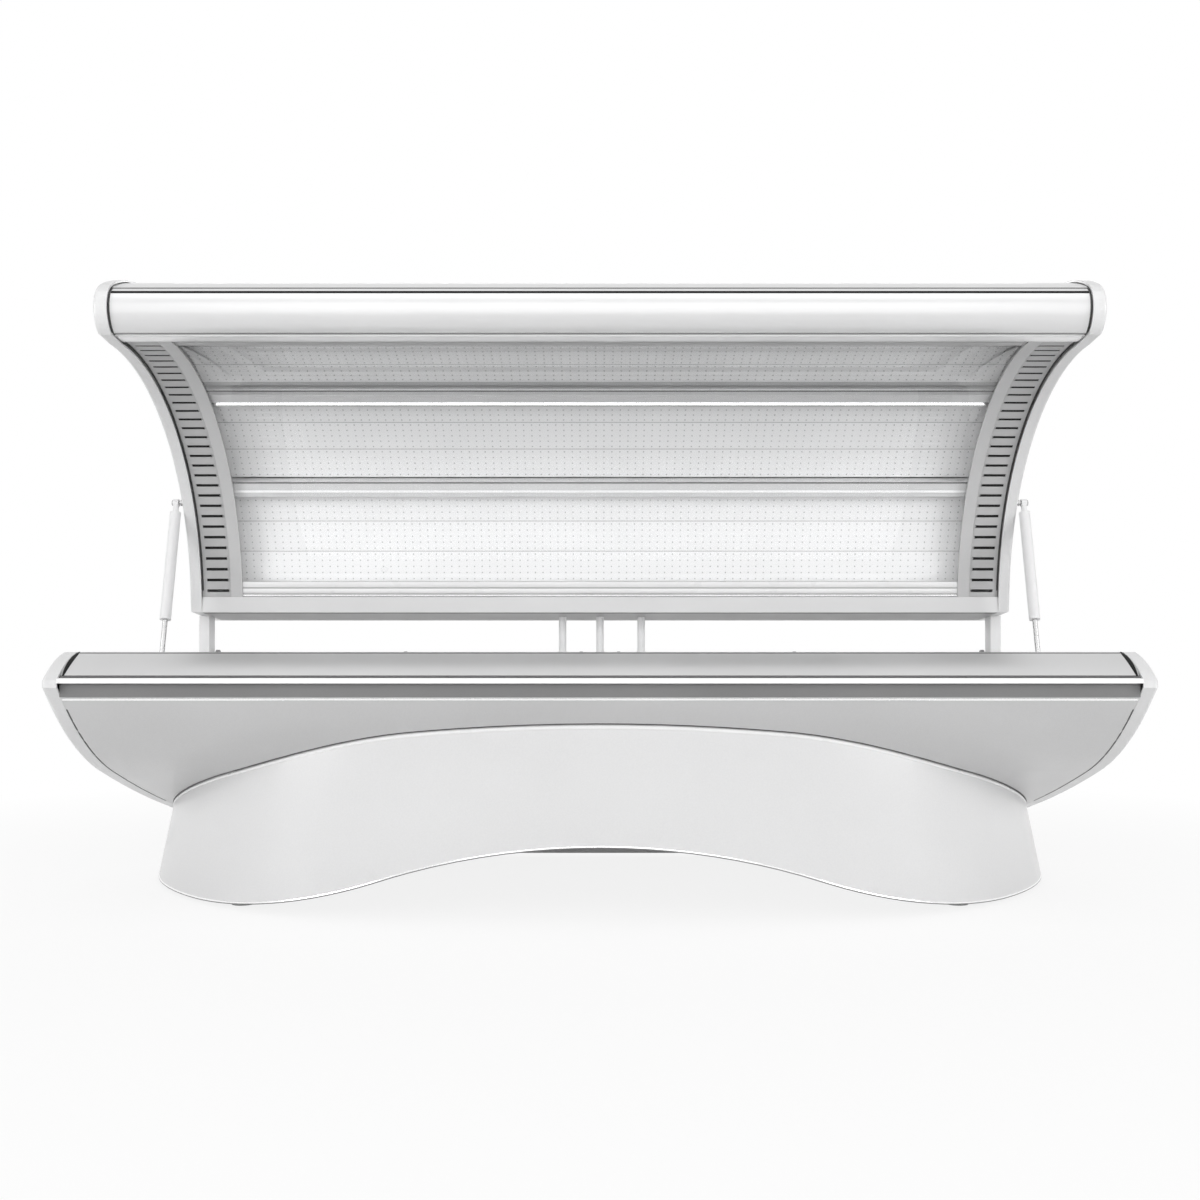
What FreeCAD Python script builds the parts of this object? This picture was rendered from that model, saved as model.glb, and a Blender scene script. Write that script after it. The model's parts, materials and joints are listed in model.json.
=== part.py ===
import FreeCAD, Part
import math
import os
import re
import Sketcher
from FreeCAD import Placement, Rotation, Vector

# A light therapy bed: a bench with a curved hull on a plinth, and a canopy that swings over it.
# The row frame has X along the bed, Y from front to back and Z up from the floor.
# Bed pieces are drawn at (X, depth behind the front plane, height above the floor).
# Canopy pieces are drawn in the closed pose around the axis of the canopy's arc.

# Driving dimensions, in millimetres and degrees
SIZES = {
    # Whole bed: heights hang from the hinge, and depths run back from the front plane
    "half_depth": 529.5,
    "bed_half_length": 1065,
    "hinge_height": 530,
    "hinge_depth": 975,
    "fit_gap": 0.3,
    "run_gap": 0.05,
    "fit_angle": 0.05,
    # End caps
    "cap_thick": 30,
    "cap_wall": 4,
    "cap_round": 8,
    "cap_nose_drop": 54,
    "cap_nose_height": 15,
    "cap_crown": 230,
    "cap_notch_inset": 30,
    "cap_notch_rise": 35,
    "cap_tail": 8,
    # Front and rear rails
    "rim_rise": 6,
    "rail_depth": 95,
    "rail_drop": 89,
    "rail_wall": 3,
    "rail_crown": 190,
    "rail_shoulder_depth": 16,
    "rail_shoulder_drop": 47,
    "trim_thick": 10,
    "trim_drop": 60,
    "trim_height": 9,
    "inlay_setback": 14,
    "inlay_thick": 4,
    "inlay_rise": 2,
    "inlay_height": 25,
    "rear_rail_width": 100,
    "hinge_setback": 45,
    "hinge_stand": 30,
    # Hull
    "hull_wall": 4,
    "hull_lip": 60,
    "hull_front": 20,
    "hull_flank_depth": 275,
    "hull_flank_drop": 164,
    "hull_flank_radius": 640,
    "hull_floor_depth": 700,
    "hull_floor_drop": 125,
    "keel_run": 75,
    "keel_drop": 12,
    "keel_width": 100,
    "hull_back_run": 80,
    "hull_back_rise": 76,
    "hull_top_inset": 30,
    # Bench
    "bench_edge_drop": 38,
    "bench_sag": 75,
    "bench_acrylic_thick": 5,
    "bench_vent_width": 100,
    "bench_board_drop": 35,
    "bench_module_angle": 13.2,
    "bench_board_angle": 3.9,
    "bench_slot_angle": 1.34,
    "bench_slot_count": 27,
    "panel_thick": 3,
    "panel_drop": 15,
    "rib_thick": 4,
    "rib_inner_offset": 330,
    "rib_outer_offset": 760,
    # Light boards
    "board_thick": 4,
    "board_end_gap": 7,
    "board_joint": 1,
    # Plinth
    "fascia_base": 8,
    "fascia_top_drop": 27,
    "fascia_flare": 19,
    "fascia_top_inset": 69,
    "fascia_front": 73,
    "fascia_top_front": 78,
    "fascia_radius": 3150,
    "fascia_end": 820,
    "fascia_wall": 4,
    "fascia_reveal": 2,
    "arch_half_span": 880,
    "arch_rise": 143,
    "seam_gap": 0.6,
    "rear_cover_inset": 70,
    "rear_cover_corner": 60,
    "rear_cover_bend": 90,
    # Legs and feet
    "leg_plate": 6,
    "leg_rail_width": 40,
    "leg_rail_height": 30,
    "leg_base": 24,
    "foot_radius": 25,
    "foot_thick": 10,
    "foot_stem_radius": 6,
    "foot_front": 290,
    "foot_rear_inset": 40,
    # Canopy in the closed pose, from its hinge
    "open_angle": 44.5,
    "canopy_setback": 549.1,
    "canopy_drop": 368.6,
    "canopy_inner_radius": 560,
    "canopy_outer_radius": 715,
    "canopy_wall": 3,
    "front_wall_angle": 44,
    "rear_wall_angle": 42.5,
    "shell_front_angle": 35,
    "shell_rear_angle": 44,
    "rail_seat_radius": 640,
    "rail_inset": 4,
    # Canopy rails and caps
    "brow_depth": 494,
    "brow_height": 446,
    "brow_radius": 420,
    "nose_depth": 497,
    "nose_height": 408,
    "nose_radius": 70,
    "chin_depth": 458,
    "chin_height": 369,
    "chin_radius": 62,
    "lip_depth": 428,
    "lip_height": 366,
    "lip_radius": 50,
    "heel_depth": 403,
    "heel_height": 380,
    "tail_depth": 543,
    "tail_height": 495,
    "canopy_cap_lip": 6,
    # Canopy inner pieces
    "vent_width": 75,
    "strip_thick": 3,
    "slot_width": 7,
    "slot_length": 57,
    "slot_inset": 5,
    "slot_angle": 2.865,
    "slot_count": 29,
    "slot_centre_angle": -0.75,
    "channel_width": 30,
    "channel_thick": 5,
    "channel_inset": 3,
    "acrylic_thick": 4,
    "acrylic_edge": 2,
    "board_radius": 605,
    "ridge_radius": 575,
    "ridge_half": 16,
    "ridge_lip": 5,
    "ridge_lip_thick": 3,
    "ridge_wall": 2,
    "first_ridge_angle": -39.5,
    "module_angle": 26.7,
    "board_angle": 7.63,
    # Hinge
    "hinge_rod_radius": 5,
    "hinge_rod_inset": 3,
    "arm_gap": 3,
    "arm_radius": 24,
    "arm_reach": 160,
    "tube_reach": 120,
    "ear_thick": 8,
    "end_ear_radius": 14,
    "centre_ear_radius": 9.5,
    "end_ear_inset": 13,
    "middle_ear_offset": 520,
    "centre_ear_offset": 50,
    "tube_radius": 10,
    "tube_eye_radius": 9.4,
    "tube_eye_length": 24,
    "tube_left_offset": -100,
    "tube_right_offset": 110,
    # Gas struts
    "strut_offset": 18,
    "strut_upper_depth": 169.5,
    "strut_upper_height": 540.5,
    "strut_lower_setback": 316.8,
    "strut_lower_drop": 210,
    "strut_radius": 13.5,
    "strut_neck": 26,
    "strut_neck_radius": 7,
    "strut_tube_length": 286,
    "strut_end_wall": 7,
    "strut_rod_radius": 6,
    "strut_rod_insert": 40,
    "strut_pin_radius": 4,
    "strut_eye_radius": 9,
    "strut_eye_half": 7,
    "stud_collar_radius": 8,
    "stud_collar": 6,
    "stud_head": 3,
    "stud_head_radius": 7.2,
    "plate_half": 30,
    "plate_thick": 4,
    # Fans
    "fan_offset": 450,
    "fan_half": 40,
    "fan_depth": 25,
    "fan_bore": 37.5,
    "fan_blade_reach": 36,
    "fan_blade_chord": 19,
    "fan_hub_radius": 16,
    "fan_hub_length": 17,
    "fan_pin_radius": 2,
    "fan_plate": 3,
    "fan_spoke": 4,
    "fan_blade_thick": 1.6,
    "fan_blade_tilt": 38,
    "fan_blade_count": 7,
    "guard_radius": 44,
    "guard_thick": 3,
    "guard_ring": 3,
    "canopy_fan_angle": 6,
    "canopy_fan_seat": 1.5,
    # Electrics
    "driver_length": 180,
    "driver_width": 70,
    "driver_height": 40,
    "driver_inner_offset": 150,
    "driver_outer_offset": 630,
    "control_length": 96,
    "control_width": 80,
    "control_height": 55,
    "inlet_offset": 300,
    "inlet_drop": 56,
    "inlet_half_width": 24,
    "inlet_half_height": 16,
    "inlet_flange": 7,
    "inlet_flange_thick": 2.5,
    "inlet_body": 34,
    "inlet_socket": 18,
    "inlet_wall": 4,
    "button_inset": 365,
    "button_drop": 18,
    "button_radius": 8,
    "button_length": 14,
    "button_travel": 3,
    "bezel_radius": 13,
    "bezel_thick": 2.5,
}

# Places that follow from the sizes
PLACES = {
    # Heights
    "rim_height": "hinge_height + rim_rise",
    "rail_base": "rim_height - rail_drop",
    "rail_shoulder_height": "rim_height - rail_shoulder_drop",
    "trim_base": "rim_height - trim_drop",
    "inlay_base": "rail_base + inlay_rise",
    "cap_nose_top": "rim_height - cap_nose_drop",
    "cap_nose_base": "cap_nose_top - cap_nose_height",
    "cap_notch_height": "rail_base + cap_notch_rise",
    "rear_rail_top": "hinge_height - hinge_stand",
    "hull_flank_height": "rail_base - hull_flank_drop",
    "hull_floor_height": "hull_flank_height - hull_floor_drop",
    "keel_height": "hull_floor_height - keel_drop",
    "hull_back_height": "keel_height + hull_back_rise",
    "inlet_height": "keel_height - inlet_drop",
    "bench_edge_height": "rim_height - bench_edge_drop",
    "fascia_top": "rail_base - fascia_top_drop",
    "canopy_height": "hinge_height - canopy_drop",
    "strut_lower_height": "hinge_height - strut_lower_drop",
    "button_height": "rim_height - button_drop",
    # Depths
    "rear_rail_front": "hinge_depth - hinge_setback",
    "rear_rail_back": "rear_rail_front + rear_rail_width",
    "cap_notch_depth": "rear_rail_front - cap_notch_inset",
    "cap_tail_depth": "hull_top_depth + cap_tail",
    "hull_top_depth": "rear_rail_back - hull_top_inset",
    "keel_front": "hull_floor_depth + keel_run",
    "keel_rear": "keel_front + keel_width",
    "hull_back_depth": "keel_rear + hull_back_run",
    "rear_cover_back": "hull_top_depth - rear_cover_inset",
    "foot_rear": "rear_cover_back - foot_rear_inset",
    "canopy_depth": "hinge_depth - canopy_setback",
    "strut_lower_depth": "hinge_depth - strut_lower_setback",
    # Lengths from the middle of the bed
    "inner_half": "bed_half_length - cap_thick",
    "bench_acrylic_half": "inner_half - bench_vent_width",
    "board_half": "inner_half - board_end_gap",
    "end_ear_offset": "inner_half - end_ear_inset",
    "button_offset": "bed_half_length - button_inset",
    "fascia_half_width": "bed_half_length + fascia_flare",
    "fascia_top_half_width": "bed_half_length - fascia_top_inset",
}

doc = FreeCAD.newDocument("light_therapy_bed")
sheet = doc.addObject("Spreadsheet::Sheet", "sizes")
for row, (alias, number) in enumerate(SIZES.items(), start=1):
    sheet.set(f"A{row}", alias)
    sheet.set(f"B{row}", str(number))
    sheet.setAlias(f"B{row}", alias)
doc.recompute()

ALONG_X = Rotation(Vector(0, 1, 0), 90)
ALONG_Y = Rotation(Vector(1, 0, 0), -90)
SECTION_PLANE = Rotation(90, 0, 90)
SIDES = (("left", "-"), ("right", ""))
nodes = []


# Expressions and placing

def bound(text):
    """Name the sheet before each size of an expression, and write out the places."""
    def named(word):
        if word[0] in PLACES:
            return f"({bound(PLACES[word[0]])})"
        return f"sizes.{word[0]}" if word[0] in SIZES else word[0]

    return re.sub(r"[a-z][a-z_]*", named, str(text))


def value(text):
    found = sheet.evalExpression(bound(text))
    return float(getattr(found, "Value", found))


def bind(thing, path, text):
    thing.setExpression(path, bound(text))


def place(thing, x="0", y="0", z="0"):
    for axis, text in zip("xyz", (x, y, z)):
        bind(thing, f".Placement.Base.{axis}", text)
    return thing


def tilt(thing, angle):
    """Turn a piece about the X axis."""
    thing.Placement = Placement(thing.Placement.Base, Rotation(Vector(1, 0, 0), 1))
    bind(thing, ".Placement.Rotation.Angle", angle)
    return thing


def keep(label, thing):
    thing.Label = label
    nodes.append(thing)
    return thing


# The arc axis of the open canopy, from its closed place turned back about the hinge
BACK = "(canopy_depth - hinge_depth)"
DOWN = "(canopy_height - hinge_height)"
OPEN_DEPTH = f"(hinge_depth + {BACK} * cos(open_angle) + {DOWN} * sin(open_angle))"
OPEN_HEIGHT = f"(hinge_height - {BACK} * sin(open_angle) + {DOWN} * cos(open_angle))"


def bed_node(label, thing):
    bind(thing, ".Placement.Base.y", "-half_depth")
    return keep(label, thing)


def canopy_node(label, thing):
    tilt(thing, "-open_angle")
    place(thing, "0", f"{OPEN_DEPTH} - half_depth", OPEN_HEIGHT)
    return keep(label, thing)


# Outlines: each point is (x, y) or (x, y, radius of the arc that leads to it).
# A positive radius turns left along the way, a negative one turns right.

def arc(start, end, radius):
    """The short arc between two points, and the numbers of its ends in a sketch."""
    turn = math.copysign(1, radius)
    span = end - start
    rise = math.sqrt(max(radius ** 2 - span.Length ** 2 / 4, 0))
    centre = (start + end) / 2 + Vector(-span.y, span.x, 0).normalize() * rise * turn
    first, last = (start, end) if turn > 0 else (end, start)
    from_angle = math.atan2(first.y - centre.y, first.x - centre.x)
    to_angle = math.atan2(last.y - centre.y, last.x - centre.x)
    if to_angle <= from_angle:
        to_angle += 2 * math.pi
    circle = Part.Circle(centre, Vector(0, 0, 1), abs(radius))
    return Part.ArcOfCircle(circle, from_angle, to_angle), (1, 2) if turn > 0 else (2, 1)


def draw(sketch, outline):
    """Draw a closed outline whose points and radii are bound to the sheet."""
    points = [Vector(value(point[0]), value(point[1]), 0) for point in outline]
    edges = []
    for index, point in enumerate(outline):
        start, end = points[index - 1], points[index]
        if len(point) == 3:
            shape, ends = arc(start, end, value(point[2]))
        else:
            shape, ends = Part.LineSegment(start, end), (1, 2)
        edges.append((sketch.addGeometry(shape), ends, point))
    for (edge, ends, point), (following, next_ends, _) in zip(edges, edges[1:] + edges[:1]):
        sketch.addConstraint(Sketcher.Constraint("Coincident", edge, ends[1], following, next_ends[0]))
        for kind, text in (("DistanceX", point[0]), ("DistanceY", point[1])):
            datum = sketch.addConstraint(Sketcher.Constraint(kind, -1, 1, edge, ends[1], value(text)))
            bind(sketch, f"Constraints[{datum}]", text)
        if len(point) == 3:
            datum = sketch.addConstraint(Sketcher.Constraint("Radius", edge, abs(value(point[2]))))
            bind(sketch, f"Constraints[{datum}]", f"abs({point[2]})")
    return sketch


def polar(radius, angle):
    """A canopy point at a radius and an angle, which counts from the top towards the back."""
    return f"(({radius}) * sin({angle}))", f"(({radius}) * cos({angle}))"


def band(inner, outer, front, back):
    """The outline of an arc strip of the canopy between two radii and two angles."""
    return [
        polar(inner, front),
        polar(inner, back) + (f"-({inner})",),
        polar(outer, back),
        polar(outer, front) + (outer,),
    ]


# Solids

def origin_feature(body, role):
    return next(feature for feature in body.Origin.OriginFeatures if feature.Role == role)


def body_sketch(body, name, role, outline):
    sketch = body.newObject("Sketcher::SketchObject", name)
    sketch.AttachmentSupport = [(origin_feature(body, role), "")]
    sketch.MapMode = "FlatFace"
    return draw(sketch, outline)


def prism(name, outline, low, length):
    """A body padded along X from a section outline."""
    body = doc.addObject("PartDesign::Body", name)
    sketch = body_sketch(body, f"{name}_outline", "YZ_Plane", outline)
    bind(sketch, ".AttachmentOffset.Base.z", low)
    pad = body.newObject("PartDesign::Pad", f"{name}_pad")
    pad.Profile = sketch
    bind(pad, "Length", length)
    return body


def extrusion(name, profile, length, direction=Vector(1, 0, 0)):
    solid = doc.addObject("Part::Extrusion", name)
    solid.Base = profile
    solid.DirMode = "Custom"
    solid.Dir = direction
    solid.Solid = True
    bind(solid, "LengthFwd", length)
    return solid


def offset_prism(name, outline, offset, low, length, fill=False):
    """A solid along X from an outline grown by an offset, or the wall between the two when filled."""
    sketch = doc.addObject("Sketcher::SketchObject", f"{name}_outline")
    sketch.Placement = Placement(Vector(), SECTION_PLANE)
    bind(sketch, ".Placement.Base.x", low)
    draw(sketch, outline)
    edge = doc.addObject("Part::Offset2D", f"{name}_offset")
    edge.Source = sketch
    edge.Join = "Arc"
    edge.Fill = fill
    bind(edge, "Value", offset)
    return extrusion(name, edge, length)


def tube_prism(name, outline, wall, low, length):
    """A hollow extrusion with a wall inside its outline."""
    return offset_prism(name, outline, f"-({wall})", low, length, fill=True)


def box(name, low, size):
    solid = doc.addObject("Part::Box", name)
    for side, text in zip(("Length", "Width", "Height"), size):
        bind(solid, side, text)
    return place(solid, *low)


def cylinder(name, radius, length, low, turn=Rotation()):
    solid = doc.addObject("Part::Cylinder", name)
    solid.Placement = Placement(Vector(), turn)
    bind(solid, "Radius", radius)
    bind(solid, "Height", length)
    return place(solid, *low)


def group(name, members):
    compound = doc.addObject("Part::Compound", name)
    compound.Links = members
    return compound


def fused(name, members):
    union = doc.addObject("Part::MultiFuse", name)
    union.Shapes = members
    return union


def cut(name, base, *tools):
    difference = doc.addObject("Part::Cut", name)
    difference.Base = base
    difference.Tool = tools[0] if len(tools) == 1 else group(f"{name}_tools", list(tools))
    return difference


def common(name, base, tool):
    overlap = doc.addObject("Part::Common", name)
    overlap.Base = base
    overlap.Tool = tool
    return overlap


def mirrored(name, source):
    """The other end's piece, mirrored across the middle of the bed."""
    twin = doc.addObject("Part::Mirroring", name)
    twin.Source = source
    twin.Base = Vector()
    twin.Normal = Vector(1, 0, 0)
    return twin


def both_ends(keep_node, label, piece):
    """Keep a piece of the right end and its mirror image at the left end."""
    keep_node(f"{label}_left", mirrored(f"{label}_left", group(f"{label}_pattern", [piece])))
    keep_node(f"{label}_right", group(f"{label}_right", [piece]))


INNER_LENGTH = "(2 * inner_half)"


# Bed section: the nose of the cap, the rim, the notch for the hinge and the hull below.
# The flank runs smoothly into the floor, and the floor and the back into the flat keel.

def slope(run, rise):
    """The angle and the length of a chord."""
    return f"atan2({rise}; {run})", f"sqrt(({run}) ^ 2 + ({rise}) ^ 2)"


def level_radius(run, rise):
    """The radius of an arc that ends level."""
    return f"((({run}) ^ 2 + ({rise}) ^ 2) / (2 * ({rise})))"


FLANK_ANGLE, FLANK_CHORD = slope("hull_flank_depth - hull_front", "hull_flank_height - rail_base")
FLOOR_ANGLE, FLOOR_CHORD = slope(
    "hull_floor_depth - hull_flank_depth", "hull_floor_height - hull_flank_height"
)
FLANK_TURN = f"asin({FLANK_CHORD} / (2 * hull_flank_radius))"
FLOOR_RADIUS = f"({FLOOR_CHORD} / (2 * sin({FLOOR_ANGLE} - {FLANK_ANGLE} - {FLANK_TURN})))"
KEEL_RADIUS = level_radius("keel_front - hull_floor_depth", "hull_floor_height - keel_height")
BACK_RADIUS = level_radius("hull_back_depth - keel_rear", "hull_back_height - keel_height")
HULL_LINE = [
    ("hull_top_depth", "rail_base"),
    ("hull_front", "rail_base"),
    ("hull_flank_depth", "hull_flank_height", "hull_flank_radius"),
    ("hull_floor_depth", "hull_floor_height", FLOOR_RADIUS),
    ("keel_front", "keel_height", KEEL_RADIUS),
    ("keel_rear", "keel_height"),
    ("hull_back_depth", "hull_back_height", BACK_RADIUS),
]
BED_SECTION = [
    ("0", "cap_nose_top"),
    ("0", "cap_nose_base"),
] + HULL_LINE[1:] + [
    ("hull_top_depth", "rail_base"),
    ("cap_tail_depth", "cap_notch_height"),
    ("cap_notch_depth", "cap_notch_height"),
    ("cap_notch_depth", "rim_height"),
    ("rail_depth", "rim_height"),
]
BED_SECTION[0] += ("cap_crown",)


def end_cap(name, outline):
    """A moulded cap with a rounded outer edge, hollow towards the bed."""
    body = prism(f"{name}_block", outline, "inner_half", "cap_thick")
    doc.recompute()
    pad = body.Tip
    outer = max(range(len(pad.Shape.Faces)), key=lambda index: pad.Shape.Faces[index].CenterOfMass.x)
    rounding = body.newObject("PartDesign::Fillet", f"{name}_rounding")
    rounding.Base = (pad, [f"Face{outer + 1}"])
    bind(rounding, "Radius", "cap_round")
    hollow = offset_prism(f"{name}_hollow", outline, "-cap_wall", "inner_half - cap_wall", "cap_thick")
    return cut(name, body, hollow)


both_ends(bed_node, "bed_end_cap", end_cap("bed_cap", BED_SECTION))

# Hull: a shell around the section, open at the top between its two lips and at the fans
hull_wall = tube_prism("hull_wall_ring", HULL_LINE, "hull_wall", "-inner_half", INNER_LENGTH)
hull_mouth = box(
    "hull_mouth",
    ("-inner_half", "hull_front + hull_lip", "rail_base - 2 * hull_wall"),
    (INNER_LENGTH, "rear_rail_front + 2 * rail_wall - hull_front - hull_lip", "4 * hull_wall"),
)
KEEL_MIDDLE = "((keel_front + keel_rear) / 2)"
hull_fan_holes = [
    cylinder(
        f"hull_fan_hole_{side}",
        "fan_bore",
        "3 * hull_wall",
        (f"{sign}fan_offset", KEEL_MIDDLE, "keel_height - hull_wall"),
    )
    for side, sign in SIDES
]
bed_node("hull_shell", cut("hull", hull_wall, hull_mouth, *hull_fan_holes))

# Front rail with its trim strip, inlay and start button
RAIL_LINE = [
    ("rail_depth", "rim_height"),
    ("rail_shoulder_depth", "rail_shoulder_height", "rail_crown"),
    ("trim_thick", "rail_shoulder_height"),
    ("trim_thick", "inlay_base + inlay_height + board_joint"),
    ("inlay_setback + inlay_thick", "inlay_base + inlay_height + board_joint"),
    ("inlay_setback + inlay_thick", "rail_base"),
    ("rail_depth", "rail_base"),
]
rail_tube = tube_prism("front_rail_tube", RAIL_LINE, "rail_wall", "-inner_half", INNER_LENGTH)
button_hole = cylinder(
    "button_hole",
    "button_radius + run_gap",
    "4 * rail_wall",
    ("-button_offset", "rail_depth - 2 * rail_wall", "button_height"),
    ALONG_Y,
)
bed_node("front_rail", cut("front_rail", rail_tube, button_hole))
trim = box("trim_bar", ("-inner_half", "0", "trim_base"), (INNER_LENGTH, "trim_thick", "trim_height"))
bed_node("front_rail_trim", group("front_rail_trim", [trim]))
inlay = box(
    "inlay_bar",
    ("-inner_half", "inlay_setback", "inlay_base"),
    (INNER_LENGTH, "inlay_thick", "inlay_height"),
)
bed_node("front_rail_inlay", group("front_rail_inlay", [inlay]))
bezel_disc = cylinder(
    "bezel_disc", "bezel_radius", "bezel_thick", ("-button_offset", "rail_depth", "button_height"), ALONG_Y
)
bezel_hole = cylinder(
    "bezel_hole",
    "button_radius + run_gap",
    "3 * bezel_thick",
    ("-button_offset", "rail_depth - bezel_thick", "button_height"),
    ALONG_Y,
)
bed_node("start_button_bezel", cut("bezel", bezel_disc, bezel_hole))
button = cylinder(
    "button_plunger",
    "button_radius",
    "button_length",
    ("-button_offset", "rail_depth + bezel_thick + button_travel - button_length", "button_height"),
    ALONG_Y,
)
bed_node("start_button", group("start_button", [button]))

# Rear rail
REAR_RAIL_LINE = [
    ("rear_rail_front", "rail_base"),
    ("rear_rail_back", "rail_base"),
    ("rear_rail_back", "rear_rail_top"),
    ("rear_rail_front", "rear_rail_top"),
]
bed_node("rear_rail", tube_prism("rear_rail", REAR_RAIL_LINE, "rail_wall", "-inner_half", INNER_LENGTH))

# Bench: a clear trough between the rails, drawn around the axis of its arc
HALF_CHORD = "((rear_rail_front - rail_depth) / 2 - fit_gap)"
BENCH_RADIUS = f"(({HALF_CHORD} ^ 2 + bench_sag ^ 2) / (2 * bench_sag))"
BENCH_DEPTH = "((rail_depth + rear_rail_front) / 2)"
BENCH_HEIGHT = f"(bench_edge_height - bench_sag + {BENCH_RADIUS})"


def bench_node(label, thing):
    place(thing, "0", f"{BENCH_DEPTH} - half_depth", BENCH_HEIGHT)
    return keep(label, thing)


def trough(thick):
    """The section of a sheet that lies along the bench's arc."""
    rise = f"(bench_sag - {BENCH_RADIUS})"
    return [
        (f"-{HALF_CHORD}", rise, f"-{BENCH_RADIUS}"),
        (f"-{HALF_CHORD}", f"{rise} - {thick}"),
        (HALF_CHORD, f"{rise} - {thick}", BENCH_RADIUS),
        (HALF_CHORD, rise),
    ]


def slotted(name, strip, slot, count, pitch, middle="0"):
    """Cut a row of slots that lies along an arc about the X axis."""
    number = int(value(count))
    slots = [
        tilt(group(f"{name}_slot_{index}", [slot]), f"{middle} + ({index} - ({count} - 1) / 2) * {pitch}")
        for index in range(number)
    ]
    return cut(name, strip, *slots)


def board_width(radius, angle):
    """The width of a flat board that spans an angle of an arc."""
    return f"(2 * {radius} * tan({angle} / 2) - board_joint)"


def board_back(radius, angle):
    """The radius just behind the back corners of the boards."""
    return f"(sqrt(({radius} + board_thick) ^ 2 + ({board_width(radius, angle)} / 2) ^ 2) + fit_gap)"


bench_sheet = prism(
    "bench_acrylic", trough("bench_acrylic_thick"), "-bench_acrylic_half", "2 * bench_acrylic_half"
)
bench_node("bench_acrylic", bench_sheet)
bench_strip = prism(
    "bench_strip",
    trough("strip_thick"),
    "bench_acrylic_half",
    "inner_half - panel_thick - bench_acrylic_half",
)
bench_slot = box(
    "bench_slot",
    (
        "(bench_acrylic_half + inner_half - panel_thick - slot_length) / 2",
        "-slot_width / 2",
        f"-({BENCH_RADIUS} + 5 * strip_thick)",
    ),
    ("slot_length", "slot_width", "10 * strip_thick"),
)
both_ends(
    bench_node,
    "bench_vent_strip",
    slotted("bench_vents", bench_strip, bench_slot, "bench_slot_count", "bench_slot_angle"),
)

# Bench light boards, in three modules of three flat boards
BENCH_BOARD_RADIUS = f"({BENCH_RADIUS} + bench_board_drop)"
bench_board_width = board_width(BENCH_BOARD_RADIUS, "bench_board_angle")
bench_board = box(
    "bench_board",
    ("-board_half", f"-{bench_board_width} / 2", f"-({BENCH_BOARD_RADIUS} + board_thick)"),
    ("2 * board_half", bench_board_width, "board_thick"),
)
for module, side in ((-1, "front"), (0, "middle"), (1, "rear")):
    boards = [
        tilt(
            group(f"bench_board_{side}_{index}", [bench_board]),
            f"{module} * bench_module_angle + {index - 1} * bench_board_angle",
        )
        for index in range(3)
    ]
    bench_node(f"bench_led_module_{side}", group(f"bench_module_{side}", boards))

# End panels that close the bench beside the caps
PANEL_LINE = [
    ("rail_depth + fit_gap", "bench_edge_height - bench_sag - panel_drop"),
    ("rear_rail_front - fit_gap", "bench_edge_height - bench_sag - panel_drop"),
    ("rear_rail_front - fit_gap", "cap_notch_height"),
    ("cap_notch_depth", "cap_notch_height"),
    ("cap_notch_depth", "rim_height"),
    ("rail_depth + fit_gap", "rim_height"),
]
both_ends(
    bed_node,
    "bench_end_panel",
    prism("end_panel", PANEL_LINE, "inner_half - panel_thick", "panel_thick"),
)

# Ribs that fill the hull below the boards
rib_blanks = [
    box(
        f"bench_rib_{place_name}_{side}",
        (f"{sign}rib_{place_name}_offset - rib_thick / 2", "0", "0"),
        ("rib_thick", "rear_rail_back", "rim_height"),
    )
    for place_name in ("inner", "outer")
    for side, sign in SIDES
]
hull_inside = offset_prism(
    "hull_inside", HULL_LINE, "-(hull_wall + fit_gap)", "-inner_half", INNER_LENGTH
)
bench_hollow = cylinder(
    "bench_hollow",
    board_back(BENCH_BOARD_RADIUS, "bench_board_angle"),
    INNER_LENGTH,
    ("-inner_half", BENCH_DEPTH, BENCH_HEIGHT),
    ALONG_X,
)
rib_plates = common("bench_rib_plates", group("bench_rib_blanks", rib_blanks), hull_inside)
bed_node("bench_ribs", cut("bench_ribs", rib_plates, bench_hollow))


# Plinth: a bowed fascia and a rear cover with one flared outside

def plan(half, front, inset):
    """The plinth's outline seen from above: a front arc, two tangent side arcs and a square back."""
    half = f"({half} - {inset})"
    front = f"({front} + {inset})"
    radius = f"(fascia_radius - {inset})"
    reach = f"({front} + {radius} - fascia_end)"
    side = f"(({radius} ^ 2 - {half} ^ 2 - {reach} ^ 2) / (2 * ({radius} - {half})))"
    turn = f"({radius} / ({radius} - {side}))"
    meet_x = f"({turn} * ({half} - {side}))"
    meet_y = f"({front} + {radius} - {turn} * {reach})"
    back = f"(rear_cover_back - {inset})"
    corner = f"(rear_cover_corner - {inset})"
    bend = f"(rear_cover_bend - {inset})"
    return [
        (f"-{meet_x}", meet_y, side),
        (meet_x, meet_y, radius),
        (half, "fascia_end", side),
        (half, f"{back} - {corner}"),
        (f"{half} - {corner}", back, bend),
        (f"{corner} - {half}", back),
        (f"-{half}", f"{back} - {corner}", bend),
        (f"-{half}", "fascia_end"),
    ]


def plinth_block(name, inset):
    sections = []
    for level, half, front in (
        ("fascia_base", "fascia_half_width", "fascia_front"),
        ("fascia_top", "fascia_top_half_width", "fascia_top_front"),
    ):
        sketch = doc.addObject("Sketcher::SketchObject", f"{name}_{level}")
        draw(sketch, plan(half, front, inset))
        sections.append(place(sketch, z=level))
    loft = doc.addObject("Part::Loft", name)
    loft.Sections = sections
    loft.Solid = True
    loft.Ruled = True
    return loft


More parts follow.
